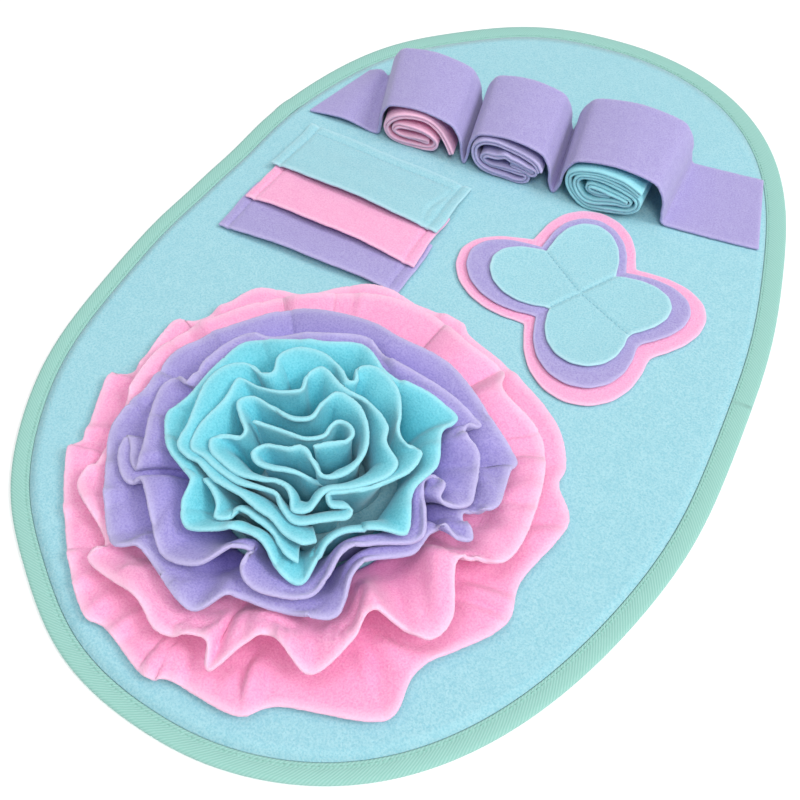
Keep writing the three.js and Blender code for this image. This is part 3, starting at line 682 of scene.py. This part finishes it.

# %% [markdown]
# ## Creases and pleats
# Where a gathered strip leaves its seam, small soft troughs and ridges run out towards the free edge and
# fade. They are what makes cloth look gathered and not poured. Knife pleats are sharper: the cloth steps up
# over a fold and slopes back down. Each row places one of them, along a line from its outer end to its inner
# end.

# %% Tables of creases and pleats
CREASES = {
    # outer bearing and distance, inner bearing and distance, height (a ridge if above 0) and half width
    "pink_lower": [
        (266, 150, 266, 129, 2.2, 3.5), (272, 142, 268, 126, 2.0, 3.0), (282, 134, 282, 110, 2.4, 4.0),
        (288, 140, 287, 118, 2.2, 4.0), (315, 134, 313, 114, 2.4, 4.0), (330, 138, 315, 109, 3.2, 5.0),
        (351, 141, 347, 114, 3.0, 4.0), (346, 145, 342, 120, 2.4, 4.0), (238, 147, 236, 122, 2.2, 4.0),
        (246, 148, 244, 126, 2.0, 4.0), (253, 145, 254, 118, 2.2, 4.0), (12, 150, 6, 120, 2.0, 5.0),
        (218, 148, 216, 120, 2.0, 4.0), (196, 149, 194, 122, 2.0, 4.0), (172, 150, 170, 122, 2.0, 4.0),
        (58, 150, 56, 120, 2.0, 5.0), (84, 153, 82, 125, 1.8, 4.0), (146, 155, 144, 128, 2.0, 5.0),
    ],
    "pink_upper": [
        (268, 131, 260, 112, -2.2, 4.0), (281, 118, 279, 95, 2.4, 4.0), (292, 119, 287, 98, -2.4, 4.0),
        (299, 125, 295, 100, 2.0, 5.0), (321, 116, 321, 92, 2.6, 4.0), (326, 125, 329, 99, -2.4, 4.5),
        (334, 127, 346, 98, 2.2, 5.0), (352, 128, 358, 110, -2.0, 4.0), (255, 127, 240, 118, 2.2, 4.0),
        (5, 134, 12, 112, 1.8, 5.0), (224, 131, 220, 112, -1.6, 4.0), (205, 129, 203, 110, 0.8, 4.0),
        (107, 144, 106, 122, 1.1, 3.6), (34, 143, 44, 128, -1.0, 5.0), (17, 136, 16, 117, -2.4, 5.0),
        (186, 132, 184, 112, -1.0, 4.0), (153, 141, 151, 118, 1.4, 5.0), (28, 142, 32, 124, 2.2, 5.0),
    ],
    "purple_lower": [
        (257, 116, 243, 106, -2.0, 4.5), (265, 112, 247, 90, 2.2, 5.0), (278, 97, 272, 80, -2.0, 3.5),
        (300, 101, 297, 88, 1.8, 4.0), (313, 97, 314, 78, -1.8, 4.0), (237, 118, 222, 112, 1.8, 4.0),
        (331, 90, 334, 77, 1.6, 4.0), (349, 93, 3, 77, -1.8, 4.0), (206, 122, 200, 100, -1.3, 4.0),
        (190, 126, 184, 102, 2.0, 4.5), (174, 122, 170, 100, -1.3, 4.0), (221, 121, 213, 100, 3.0, 4.5),
        (154, 123, 152, 100, 1.6, 6.0), (28, 118, 37, 98, 1.6, 5.0), (21, 118, 25, 100, -1.4, 5.0),
        (10, 116, 25, 96, 2.6, 4.5), (3, 108, 9, 94, -2.4, 4.0),
    ],
    "purple_upper": [
        (240, 98, 230, 84, -1.8, 4.0), (292, 92, 290, 76, 1.6, 4.0), (336, 84, 334, 70, 1.6, 3.5),
        (352, 84, 354, 70, -1.6, 3.0), (212, 96, 210, 78, 1.8, 4.0), (170, 92, 168, 76, -1.6, 3.5),
        (36, 100, 31, 80, 2.2, 4.5), (22, 98, 23, 78, -2.4, 4.5), (6, 94, 14, 76, 2.2, 4.0),
    ],
    "blue_outer": [
        (-45, 62, -45, 52, 0.7, 6.0), (-72, 80, -66, 62, -1.6, 3.5), (-95, 72, -92, 58, 1.6, 3.5),
        (-118, 78, -112, 62, -1.4, 3.0), (-140, 74, -136, 60, 1.4, 3.5), (-158, 84, -152, 66, -1.6, 4.0),
        (-13, 78, -17, 54, 3.2, 9.0), (24, 77, 24, 62, 1.4, 4.0), (120, 75, 119, 60, 0.9, 5.0),
        (84, 72, 84, 60, -0.9, 5.0),
    ],
}
PLEATS = {
    # outer bearing and distance, inner bearing and distance, height of the step and how far its slope runs
    "pink_lower": [
        (264, 146, 263, 125, 2.4, 9.0), (268, 147, 266, 123, 2.6, 13.0), (277, 138, 272, 120, 2.8, 11.0),
        (287, 138, 285, 108, 2.6, 12.0), (201, 153, 202, 134, 2.4, 14.0), (179, 157, 177, 136, 2.4, 14.0),
        (229, 150, 232, 132, 2.0, 10.0),
    ],
}
print(sum(len(rows) for rows in CREASES.values()), "creases")

# %% The height of a crease
LEE = 0.45


def spot(bearing, far):
    return FLOWER + far * np.array([math.cos(math.radians(bearing)), math.sin(math.radians(bearing))])


def from_line(place, outer, outer_from, inner, inner_from):
    """Each place's share of the way along a line, outer end first, and how far it is beside the line."""
    a = spot(outer, outer_from)
    b = spot(inner, inner_from)
    span = np.linalg.norm(b - a)
    way = (b - a) / span
    x = place[..., 0] - a[0]
    y = place[..., 1] - a[1]
    return (x * way[0] + y * way[1]) / span, x * way[1] - y * way[0]


def crease(name, place):
    """The height that the creases and pleats of a frill add at each place."""
    total = np.zeros(place.shape[:-1])
    for *line, high, wide in CREASES.get(name, []):
        along, side = from_line(place, *line)
        fade = ease(along, -0.25, 0.15) * (1 - ease(along, 0.55, 1.3))
        lee = LEE * np.exp(-(((side - 1.7 * wide) / (1.3 * wide)) ** 2))
        total += high * fade * (np.exp(-((side / wide) ** 2)) - lee)
    for *line, high, wide in PLEATS.get(name, []):
        along, side = from_line(place, *line)
        fade = ease(along, -0.12, 0.04) * (1 - ease(along, 0.9, 1.4))
        total += high * fade * ease(side, -1.5, 0.5) * (1 - ease(side, 0, wide))
    return total


print("creases ready")

# %% [markdown]
# ## Room between the frills
# Each ring lies under the next one in the tables, so it may billow only where that one leaves it free. We
# note how far out the upper edge reaches at each degree and how low it hangs, and keep the lower cloth
# beneath it. The turns of the coil have no ring above. Between the seam and the free edge they lean into
# whichever hollow is emptier.

# %% Keep a ring under the next one
UNDER = 4.2
DEGREES = np.arange(361)


def covered(name):
    """How far out the ring above reaches at each degree and how low its edge hangs, widened and smoothed."""
    names = list(FRILLS)
    points = EDGES[names[names.index(name) + 1]].at(np.linspace(0, 1, 6000))
    degree = np.rint(np.degrees(np.arctan2(points[:, 1], points[:, 0]))).astype(int) % 360
    reach = np.zeros(360)
    np.maximum.at(reach, degree, np.hypot(points[:, 0], points[:, 1]))
    height = np.full(360, 99.0)
    np.minimum.at(height, degree, points[:, 2])
    near = range(-3, 4)
    reach = np.max([np.roll(reach, k) for k in near], axis=0)
    height = np.min([np.roll(height, k) for k in near], axis=0)
    soft = [sum((4 - abs(k)) * np.roll(row, k) for k in near) / 16 for row in (reach, height)]
    return [np.append(row, row[0]) for row in soft]


def shown(above, place):
    """How much of a ring shows outside the one above, and the height that it may have there."""
    x = place[..., 0] - FLOWER[0]
    y = place[..., 1] - FLOWER[1]
    bearing = np.degrees(np.arctan2(y, x)) % 360
    clear = np.hypot(x, y) - np.interp(bearing, DEGREES, above[0])
    room = np.interp(bearing, DEGREES, above[1]) - UNDER + 40 * ease(clear, 3, 22)
    return ease(clear, -11, 6), room


print("rings stay", UNDER, "mm under the next")

# %% Lean a coil into the hollows
LEAN = 0.28
LEAN_MOST = 5.5
LEAN_SMOOTH = 7
LOOK = 26.0


def beside(name):
    """How far each point of a coil leans to its left (to its right if below 0) into an empty hollow."""
    edge = EDGES[name]
    u = np.linspace(0, 1, 900)
    here = edge.at(u)[:, :2]
    way = unit(edge.at(u + 1e-3)[:, :2] - edge.at(u - 1e-3)[:, :2])
    left = np.stack([-way[:, 1], way[:, 0]], -1)
    clear = {}
    for side in (1, -1):
        nearest = np.full(len(u), LOOK)
        for key in ("blue_outer", *COILS):
            other = EDGES[key]
            share = np.linspace(0, 1, int(other.length / 1.5))
            to = other.at(share)[None, :, :2] - here[:, None]
            far = np.linalg.norm(to, axis=2)
            facing = side * (to * left[:, None]).sum(axis=2) > 0.85 * far
            same = (key == name) & (np.abs(share[None] - u[:, None]) * edge.length < 8)
            nearest = np.minimum(nearest, np.where(facing & ~same, far, 99).min(axis=1))
        clear[side] = nearest
    lean = np.clip(LEAN * (clear[1] - clear[-1]), -LEAN_MOST, LEAN_MOST)
    window = np.hanning(2 * int(LEAN_SMOOTH / (edge.length / len(u))) + 3)
    return u, np.convolve(lean, window / window.sum(), mode="same"), left


print("coils lean", LEAN_MOST, "mm at most")

# %% [markdown]
# ## One frill
# A frill's surface runs from its sewn edge to its free edge. All of a strip was cut to one width, so where
# its two edges come near each other the cloth has slack, and it arches. A strip with slack s over a chord c
# rises by about c times the square root of 3/8 s. The lowest frill lies on the panel and turns up only at
# its edge.

# %% The surface of a frill
FRILL_THICK = 2.6
GATHER = 0.03
SMOOTH = 6
FULL_WIDTH = 85
CREASE_DEEP = 1.4


def gathered(edge, u, reach):
    """The free edge smoothed over a share of its length to each side, as the gathering draws it in."""
    total = 0
    for k in range(-SMOOTH, SMOOTH + 1):
        total = total + (1 + math.cos(math.pi * k / (SMOOTH + 1))) * edge.at(u + reach * k / SMOOTH)
    return total / (2 * (SMOOTH + 1))


def frill_surface(name):
    row = FRILLS[name]
    edge = EDGES[name]
    closed = edge.closed
    lies = row.get("lies")
    seat = SEAT + FRILL_THICK / 2 + 0.15 if lies else SEAT + 1.0

    def ends(u):
        root = gathered(edge, u, row.get("gather", GATHER))
        root[..., 2] = 0
        reach = np.linalg.norm(root[..., :2], axis=-1, keepdims=True)
        root = root * (row["root"] / reach if closed else row["draw"] - row["tighten"] * reach)
        root[..., 2] = seat
        return edge.at(u), root

    tip, root = ends(np.linspace(0, 1, 600))
    cut = np.percentile(np.linalg.norm(tip - root, axis=-1), FULL_WIDTH)
    above = covered(name) if closed else None
    slope = None if closed else beside(name)

    def middle(u, w):
        tip, root = ends(u)
        up = w**3 if lies else 1 - (1 - w) ** 2
        place = np.empty(tip.shape)
        for k in (0, 1):
            place[..., k] = FLOWER[k] + mix(root[..., k], tip[..., k], w**1.3)
        place[..., 2] = mix(seat, tip[..., 2], up)
        if not closed:
            swing = np.interp(u, slope[0], slope[1]) * np.sin(math.pi * w)
            for k in (0, 1):
                place[..., k] += swing * np.interp(u, slope[0], slope[2][:, k])
            return place
        chord = np.linalg.norm(tip - root, axis=-1)
        slack = np.clip(cut / chord - 1, 0, 1)
        arch = row["billow"] * chord * np.sqrt(0.375 * slack)
        high = arch * (0.55 * w**2 + 0.5 * np.sin(math.pi * w) * w) + CREASE_DEEP * crease(name, place)
        if lies:
            high = np.maximum(high, -0.4 * w**3)
        seen, room = shown(above, place)
        low = place[..., 2]
        lifted = low + high * seen
        place[..., 2] = np.maximum(np.minimum(lifted, room), np.minimum(low, lifted))
        return place

    return middle


print("frill surfaces ready")

# %% Make the frills
MESH_STEP = 1.5
FRILL_ROWS = 16
# how strong the painted highlight on a frill's free edge is
FRILL_EDGE_HIGHLIGHT = 0.55


def path_length(points):
    return float(np.linalg.norm(np.diff(points, axis=0), axis=1).sum())


def make_frill(name):
    edge = EDGES[name]
    middle = frill_surface(name)
    colour = name.split("_")[0]
    steps = int(edge.length / MESH_STEP)
    piece = cloth(
        "frill_" + name, middle, colour, steps, FRILL_ROWS, FRILL_THICK, edge.length, FRILL_EDGE_HIGHLIGHT,
        closed=edge.closed, frill=True,
    )
    w = np.linspace(0, 1, 30)
    tall = np.mean([path_length(middle(np.full(30, u), w)) for u in np.linspace(0, 1, 60)])
    root = path_length(middle(np.linspace(0, 1, 400), np.zeros(400)))
    print(piece.name, round(edge.length), "mm round its edge,", round(tall), "mm tall")
    return piece


for name in RINGS:
    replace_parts(make_frill(name), "ruffle_" + name)
heart = make_frill("blue_heart")
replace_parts(heart, "ruffle_blue_first", "ruffle_blue_second", "ruffle_blue_heart")
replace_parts(make_frill("blue_side"), "ruffle_blue_side")
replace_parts(make_frill("blue_core"), "ruffle_blue_core")

# %% [markdown]
# ## The flap pockets
# Three flaps overlap like roof tiles, the blue one on top. Each is sewn down inside its two sides, and its
# front edge stays open for treats. The seams pull soft troughs into the fleece, a little in from the cut
# edge.

# %% Sew on the pockets
POCKETS = [
    {"name": "purple", "colour": "purple", "front": -23, "back": 32, "left": -178, "right": -24, "skew": 1},
    {"name": "pink", "colour": "pink", "front": 7, "back": 68, "left": -175, "right": -26, "skew": -7},
    {"name": "blue", "colour": "panel", "front": 46, "back": 109, "left": -178, "right": -26, "skew": -11},
]
POCKET_OPEN = 4.6
FLEECE_THICK = 2.2
SEAM_IN = 8.5
SEAM_DEEP = 1.2
SEAM_WIDE = 2.2


def pocket_height(index, u, y):
    flap = POCKETS[index]
    behind = y - flap["front"] - flap["skew"] * (u - 0.5)
    arch = POCKET_OPEN * np.sin(np.pi * np.clip(u, 0, 1)) ** 0.7 * (1 - ease(behind, 0, 44))
    if index == 0:
        return SEAT + FLEECE_THICK / 2 + arch
    below = POCKETS[index - 1]
    step_at = below["back"] + below["skew"] * (u - 0.5) + 3
    on_flap = pocket_height(index - 1, u, y) + FLEECE_THICK + 0.5
    return mix(on_flap, SEAT + FLEECE_THICK / 2, ease(y - step_at, -2, 30)) + arch


def pocket_surface(index):
    flap = POCKETS[index]

    def middle(u, w):
        x = mix(flap["left"], flap["right"], u)
        level = mix(flap["front"], flap["back"], w)
        y = level + flap["skew"] * (u - 0.5)
        z = pocket_height(index, np.clip(u, 0, 1), y)
        side = np.minimum(x - flap["left"], flap["right"] - x)
        z = z + SEAM_DEEP * (1 - np.exp(-(((side - SEAM_IN) / SEAM_WIDE) ** 2)))
        if index == 2:
            deep = flap["back"] - level
            trough = np.exp(-(((deep - SEAM_IN) / SEAM_WIDE) ** 2)) * ease(side, SEAM_IN, SEAM_IN + 4)
            z = z - 0.9 * SEAM_DEEP * trough
            second = flap["right"] - x - 15 - 2.5 * np.sin(y / 8)
            z = z - 0.7 * SEAM_DEEP * np.exp(-((second / 2.4) ** 2)) * ease(deep, SEAM_IN, SEAM_IN + 4)
        ragged = 0.45 * np.sin(x / 11.3 + 2 * index) + 0.12 * np.sin(x / 3.1)
        y = y + ragged * (1 - 2 * w)
        x = x + (0.6 * np.sin(y / 9.1 + index) + 0.12 * np.sin(y / 2.7)) * (2 * u - 1) ** 3
        return np.stack([x, y, z], -1)

    return middle


for index, flap in enumerate(POCKETS):
    wide = flap["right"] - flap["left"]
    surface = pocket_surface(index)
    piece = cloth("flap_" + flap["name"], surface, flap["colour"], 150, 60, FLEECE_THICK, wide, 0.4)
    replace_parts(piece, "pocket_" + flap["name"])

# %% [markdown]
# ## The looped strap
# One strip runs across the mat. It is sewn down at its ends and at the foot of each loop, and what is left
# over between the seams stands up in three loops. The route of the strip, seen from the front, is a curve
# of its own for the front edge and another for the back edge, because the loops lean.

# %% The strap's routes
STRAP = {"front_left": 129, "front_right": 143, "back_left": 203, "back_right": 221}
STRAP_ENDS = {"front": (-190, 190), "back": (-172, 173)}
LOOPS = [
    {"front": (-122, -48), "back": (-149, -66), "rise": 36},
    {"front": (-43, 27), "back": (-61, 14), "rise": 36},
    {"front": (35, 116), "back": (20, 114), "rise": 40},
]
LOOP_ROUND = 2 / 3.1
STRAP_LOW = SEAT + FLEECE_THICK / 2 + 0.1


def spline(points, t):
    """A uniform Catmull-Rom curve through the points, at shares t of the number of stretches."""
    points = np.array(points, float)
    last = len(points) - 1
    p = np.clip(t, 0, 1) * last
    k = np.minimum(np.floor(p).astype(int), last - 1)
    a = points[np.maximum(k - 1, 0)]
    b = points[k]
    c = points[k + 1]
    d = points[np.minimum(k + 2, last)]
    return cubic(b, c, 0.5 * (c - a), 0.5 * (d - b), (p - k)[..., None])


def strap_route(side):
    """The points that one edge of the strap passes, as X and height."""
    start, stop = STRAP_ENDS[side]
    first = LOOPS[0][side][0]
    points = [(start, STRAP_LOW), (mix(start, first, 0.5), STRAP_LOW + 4.0), (first - 5, STRAP_LOW)]
    for k, loop in enumerate(LOOPS):
        left, right = loop[side]
        for share in (0.03, 0.1, 0.2, 0.32, 0.5, 0.68, 0.8, 0.9, 0.97):
            angle = math.pi * share
            across = math.copysign(abs(math.cos(angle)) ** LOOP_ROUND, math.cos(angle))
            up = math.sin(angle) ** LOOP_ROUND
            points.append(((left + right) / 2 - (right - left) / 2 * across, STRAP_LOW + loop["rise"] * up))
        after = (right + LOOPS[k + 1][side][0]) / 2 if k + 1 < len(LOOPS) else right + 5
        points.append((after, STRAP_LOW))
    return points + [(mix(right, stop, 0.5), STRAP_LOW), (stop, STRAP_LOW)]


ROUTES = {side: strap_route(side) for side in ("front", "back")}
print(len(LOOPS), "loops")

# %% Loop the strap
STRAP_THICK = 2.3


def strap_surface(u, w):
    front = spline(ROUTES["front"], u)
    back = spline(ROUTES["back"], u)
    left, right = STRAP_ENDS["front"]
    across_mat = np.clip((front[..., 0] - left) / (right - left), 0, 1)
    y0 = mix(STRAP["front_left"], STRAP["front_right"], across_mat**4)
    y1 = mix(STRAP["back_left"], STRAP["back_right"], across_mat**2)
    z = np.maximum(STRAP_LOW, mix(front[..., 1], back[..., 1], w))
    return np.stack([mix(front[..., 0], back[..., 0], w), mix(y0, y1, w), z], -1)


middle_line = strap_surface(np.linspace(0, 1, 800), np.full(800, 0.5))
strap_length = path_length(middle_line)
strap = cloth("loop_strip", strap_surface, "purple", 620, 34, STRAP_THICK, strap_length, 0.25)
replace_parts(strap, "loop_strap")
print("strap", round(strap_length), "mm long")

# %% [markdown]
# ## The rolls
# A strip of fleece is wound up and pushed into each loop. Its ends show the turns, so each roll is one long
# strip again. Its route is laid out as it shows at the front end, and runs straight through to the back.

# %% Tables of the rolls
ROLLS = {
    # the sides at the front and the back, the height, and the turns as they show at the front end
    "pink": {
        "front": (-117, -53), "back": (-144, -71), "high": 33,
        "turns": [
            (30, -5), (24, 4), (16, 13), (5, 19), (-8, 20), (-23, 17), (-34, 10), (-39, 2), (-35, -6),
            (-25, -9), (-12, -9), (1, -8), (10, -5), (13, 1), (8, 6), (-2, 9), (-15, 9), (-26, 7), (-31, 2),
            (-27, -1), (-17, -2), (-6, -1), (4, -1),
        ],
    },
    "purple": {
        "front": (-38, 22), "back": (-56, 9), "high": 33,
        "turns": [
            (29, -1), (24, 7), (12, 12), (-3, 15), (-18, 17), (-31, 14), (-38, 6), (-38, -4), (-33, -13),
            (-22, -18), (-6, -19), (9, -20), (16, -16), (16, -10), (6, -10), (-9, -10), (-23, -10),
            (-30, -5), (-26, 1), (-15, 3), (-6, 7), (-1, 5), (6, 4), (15, 1), (24, -2), (22, -6), (12, -4),
            (0, -3),
        ],
    },
    "blue": {
        "front": (40, 101), "back": (25, 99), "high": 36,
        "turns": [
            (26, 15), (20, 18), (12, 21), (1, 22), (-8, 22), (-18, 20), (-26, 17), (-31, 12), (-31, 6),
            (-28, 0), (-22, -6), (-14, -10), (-4, -9), (5, -7), (14, -5), (20, -3), (25, 2), (25, 8),
            (21, 12), (14, 14), (5, 16), (-5, 17), (-15, 16), (-23, 13), (-25, 7), (-22, 1), (-16, -4),
            (-8, -4), (0, -1), (9, 2), (17, 3), (19, 6), (13, 8), (4, 9), (-6, 10), (-14, 9), (-15, 5),
            (-8, 3), (2, 5),
        ],
    },
}
print(len(ROLLS), "rolls")

# %% Wind the rolls
ROLL_ENDS = (127, 208)
ROLL_APART = 2.5
ROLL_HALF = 2.5
ROLL_UNEVEN = 1.3


def doubled(line, apart):
    """A folded strip: along one side of the line, round its inner end and back along the other side."""
    way = unit(np.gradient(line, axis=0))
    side = 0.5 * apart * np.stack([-way[:, 1], way[:, 0]], -1)
    tip = line[-1:] + 0.5 * apart * way[-1:]
    return np.concatenate([line + side, tip, (line - side)[::-1]])


def roll_surface(name):
    roll = ROLLS[name]
    wide = roll["front"][1] - roll["front"][0]
    turns = np.array(roll["turns"], float)
    low = turns.min(axis=0)
    top = turns.max(axis=0)
    room = np.array([wide, roll["high"]]) - 2 * ROLL_HALF
    line = Route(smooth_curve((turns - (low + top) / 2) / (top - low) * room, False))
    route = Route(doubled(line.at(np.linspace(0, 1, 160)), ROLL_APART))
    narrow = (roll["back"][1] - roll["back"][0]) / wide

    def middle(u, w):
        turn = route.at(u)
        x = mix(sum(roll["front"]) / 2, sum(roll["back"]) / 2, w) + turn[..., 0] * mix(1.0, narrow, w)
        z = SEAT + roll["high"] / 2 + turn[..., 1]
        y = mix(ROLL_ENDS[0], ROLL_ENDS[1], w) + ROLL_UNEVEN * np.sin(9 * math.pi * u) * (1 - 2 * w)
        return np.stack([x, y, z], -1)

    return route, middle


for name in ROLLS:
    route, middle = roll_surface(name)
    steps = int(route.length / MESH_STEP)
    piece = cloth("roll_strip_" + name, middle, name, steps, 12, FLEECE_THICK, route.length, 0.6)
    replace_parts(piece, "roll_" + name)
    print(piece.name, round(route.length), "mm long")

# %% [markdown]
# ## The clover
# Three layers of fleece are cut as four-lobed clovers, each a little smaller than the one below, and sewn
# together by a cross through the middle. A grid bent into rings makes each layer, pulled down along the
# seams.

# %% The clover's outline and seams
CLOVER = {"x": 90.0, "y": 37.0, "axis": 58.8, "swell": 1.4}
CLOVER_TURNS = [
    # bearing from the axis, then how far out the pink, lilac and blue layers are: notch, tip, notch, tip
    (0, 52, 42, 32), (45, 89.5, 77.5, 69), (85, 64.5, 53.5, 47), (120, 94, 86.5, 69),
    (180, 49, 39.5, 28), (235, 96.5, 84.5, 68), (275, 70, 58.5, 49.5), (315, 88, 76.5, 63),
]
LAYERS = [
    {"name": "pink", "colour": "pink", "lift": 1.0, "pull": 0.2},
    {"name": "purple", "colour": "purple", "lift": 1.8, "pull": 0.5},
    {"name": "blue", "colour": "panel", "lift": 2.4, "pull": 0.9},
]
LAYER_THICK = 1.6
LAYER_APART = 0.55
CROSS_WIDE = 1.7


def clover_reach(turn, level):
    """How far out a layer's cut edge is at each bearing from the axis."""
    out = np.zeros(turn.shape)
    for k, before in enumerate(CLOVER_TURNS):
        after = CLOVER_TURNS[(k + 1) % len(CLOVER_TURNS)]
        share = np.mod(turn - before[0], 360) / np.mod(after[0] - before[0], 360)
        near_tip = share if k % 2 == 0 else 1 - share
        notch, tip = (before, after) if k % 2 == 0 else (after, before)
        swell = np.sin(0.5 * math.pi * np.clip(near_tip, 0, 1)) ** CLOVER["swell"]
        out = np.where(share < 1, mix(notch[1 + level], tip[1 + level], swell), out)
    return out


def seam_pull(turn, far):
    """1 on the seams, which run from the middle to the four notches, and 0 away from them."""
    pull = np.zeros(np.broadcast(turn, far).shape)
    for bearing, *_ in CLOVER_TURNS[::2]:
        off = np.radians(wrap(turn - bearing))
        pull = np.maximum(pull, np.exp(-((far * np.sin(off) / CROSS_WIDE) ** 2)) * (np.cos(off) > 0))
    return pull


def layer_top(level, turn, far, reach):
    """The height of a layer's upper face, which lifts a little towards the tips of its lobes."""
    layer = LAYERS[level]
    base = SEAT + level * (LAYER_THICK + LAYER_APART)
    lift = layer["lift"] * far / reach * ease(far, 30, 80)
    return base + LAYER_THICK + lift - layer["pull"] * seam_pull(turn, far)


print(len(LAYERS), "layers")

# %% Cut the clover
CLOVER_STEPS = 360
# how strong the painted highlight on a clover layer's cut edge is
CLOVER_EDGE_HIGHLIGHT = 0.5


def clover_line(far, angle, z):
    return np.column_stack([CLOVER["x"] + far * np.cos(angle), CLOVER["y"] + far * np.sin(angle), z])


turn = 360 * np.arange(CLOVER_STEPS) / CLOVER_STEPS
angle = np.radians(turn + CLOVER["axis"])
half = LAYER_THICK / 2
shares = np.linspace(0, 1, 44)
stations = [(share, QUARTER) for share in shares[:-1]]
stations += [(1.0, bend) for bend in np.linspace(QUARTER, -QUARTER, ROUND + 2)]
stations += [(share, -QUARTER) for share in shares[-2::-1]]
for level, layer in enumerate(LAYERS):
    ragged = 0.14 * np.sin(np.radians(turn * 37)) + 0.5 * np.sin(np.radians(turn * 7 + 40 * level))
    reach = clover_reach(turn, level) + ragged
    rings = []
    edges = []
    for share, tilt in stations:
        inner = share * (reach - half)
        far = inner + half * math.cos(tilt) * (share > 0.99)
        z = layer_top(level, turn, inner, reach) - half + half * math.sin(tilt)
        rings.append(clover_line(far, angle, z))
        # a painted highlight that fades in towards each layer's cut edge
        edges.append(CLOVER_EDGE_HIGHLIGHT * np.exp(-(((1 - share) * reach / EDGE_FADE) ** 2)))
    looks = {"painted_edge_highlight": np.stack(edges, axis=1)}
    colour = layer["colour"]
    name = "clover_layer_" + layer["name"]
    piece = mesh_piece(name, np.stack(rings, axis=1), looks, FLEECE[colour])
    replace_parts(piece, "clover_" + layer["name"])
    size = 2 * float(reach.max()) * MM
    print(piece.name, round(size / MM), "mm across")

# %% [markdown]
# ## The stitching
# The thread has the colour of the cloth, so a seam shows by its shade: a row of short raised stitches in a
# trough. Each stitch is one low lens of a few faces. A line of them follows the tape, the sides of the
# pockets and the cross on the clover. The stitches are drawn a little longer than a machine's 3 mm, so that
# they can still be told apart.

# %% The seam maker
STITCH = {"pitch": 3.6, "long": 2.6, "wide": 0.8, "first": 0.3}


def thread(name, colour):
    """Spun polyester sewing thread, a shade deeper than its cloth, with a faint gloss."""
    material, tree = fresh(name)
    spun = {"Base Color": linear(colour), "Roughness": 0.6, "Sheen Weight": 0.2}
    skin = add(tree, "ShaderNodeBsdfPrincipled", spun)
    add(tree, "ShaderNodeOutputMaterial", (), {"Surface": skin.outputs["BSDF"]})
    return material


def seam(name, lines, material):
    """Rows of stitches along lines of points in millimetres, as one piece."""
    bm = bmesh.new()
    ends = (STITCH["first"], STITCH["first"] + STITCH["long"])
    thin = STITCH["wide"] / 2
    size = Matrix.Diagonal((STITCH["long"] / 2, thin, thin, 1 / MM)) * MM
    for line in lines:
        route = Route(np.array(line, float))
        for k in range(int(route.length / STITCH["pitch"])):
            begin = k * STITCH["pitch"]
            start, stop = [Vector(route.at((begin + d) / route.length)) for d in ends]
            turn = (stop - start).to_track_quat("X", "Z").to_matrix().to_4x4()
            place = Matrix.Translation((start + stop) / 2 * MM) @ turn @ size
            bmesh.ops.create_uvsphere(bm, u_segments=6, v_segments=4, radius=1, matrix=place)
    piece = mesh_object(name, bm, material)
    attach(piece, "root")
    print(name, len(piece.data.polygons), "faces")


print("a stitch every", STITCH["pitch"], "mm")

# %% Sew the seams
FLAP_THREADS = {"purple": "9a90c4", "pink": "e89cc0", "blue": "8ec4d2"}
ON_FLEECE = 1.15
turn = np.linspace(0, 1, 1200)
tape_line = np.column_stack([rim(turn, tape_wide(turn) - 2.0), np.full(1200, TAPE_TOP + 0.15)])
seam("tape_stitches", [tape_line], thread("mint_thread", "8cc0b4"))

share = np.linspace(0.12, 0.97, 60)
for index, flap in enumerate(POCKETS):
    surface = pocket_surface(index)
    near = SEAM_IN / (flap["right"] - flap["left"])
    lines = [surface(np.full(60, u), share) for u in (near, 1 - near)]
    if index == 2:
        back = 1 - SEAM_IN / (flap["back"] - flap["front"])
        lines.append(surface(np.linspace(near, 1 - near, 120), np.full(120, back)))
    lines = [line + np.array([0, 0, ON_FLEECE]) for line in lines]
    name = flap["name"]
    seam("flap_stitches_" + name, lines, thread("thread_" + name, FLAP_THREADS[name]))

lines = []
for bearing, _, _, notch in CLOVER_TURNS[::2]:
    far = np.linspace(1.5, notch - 1, 40)
    z = layer_top(2, np.full(40, float(bearing)), far, np.full(40, float(notch))) + 0.1
    lines.append(clover_line(far, math.radians(bearing + CLOVER["axis"]), z))
seam("clover_stitches", lines, thread("clover_thread", "86bccb"))
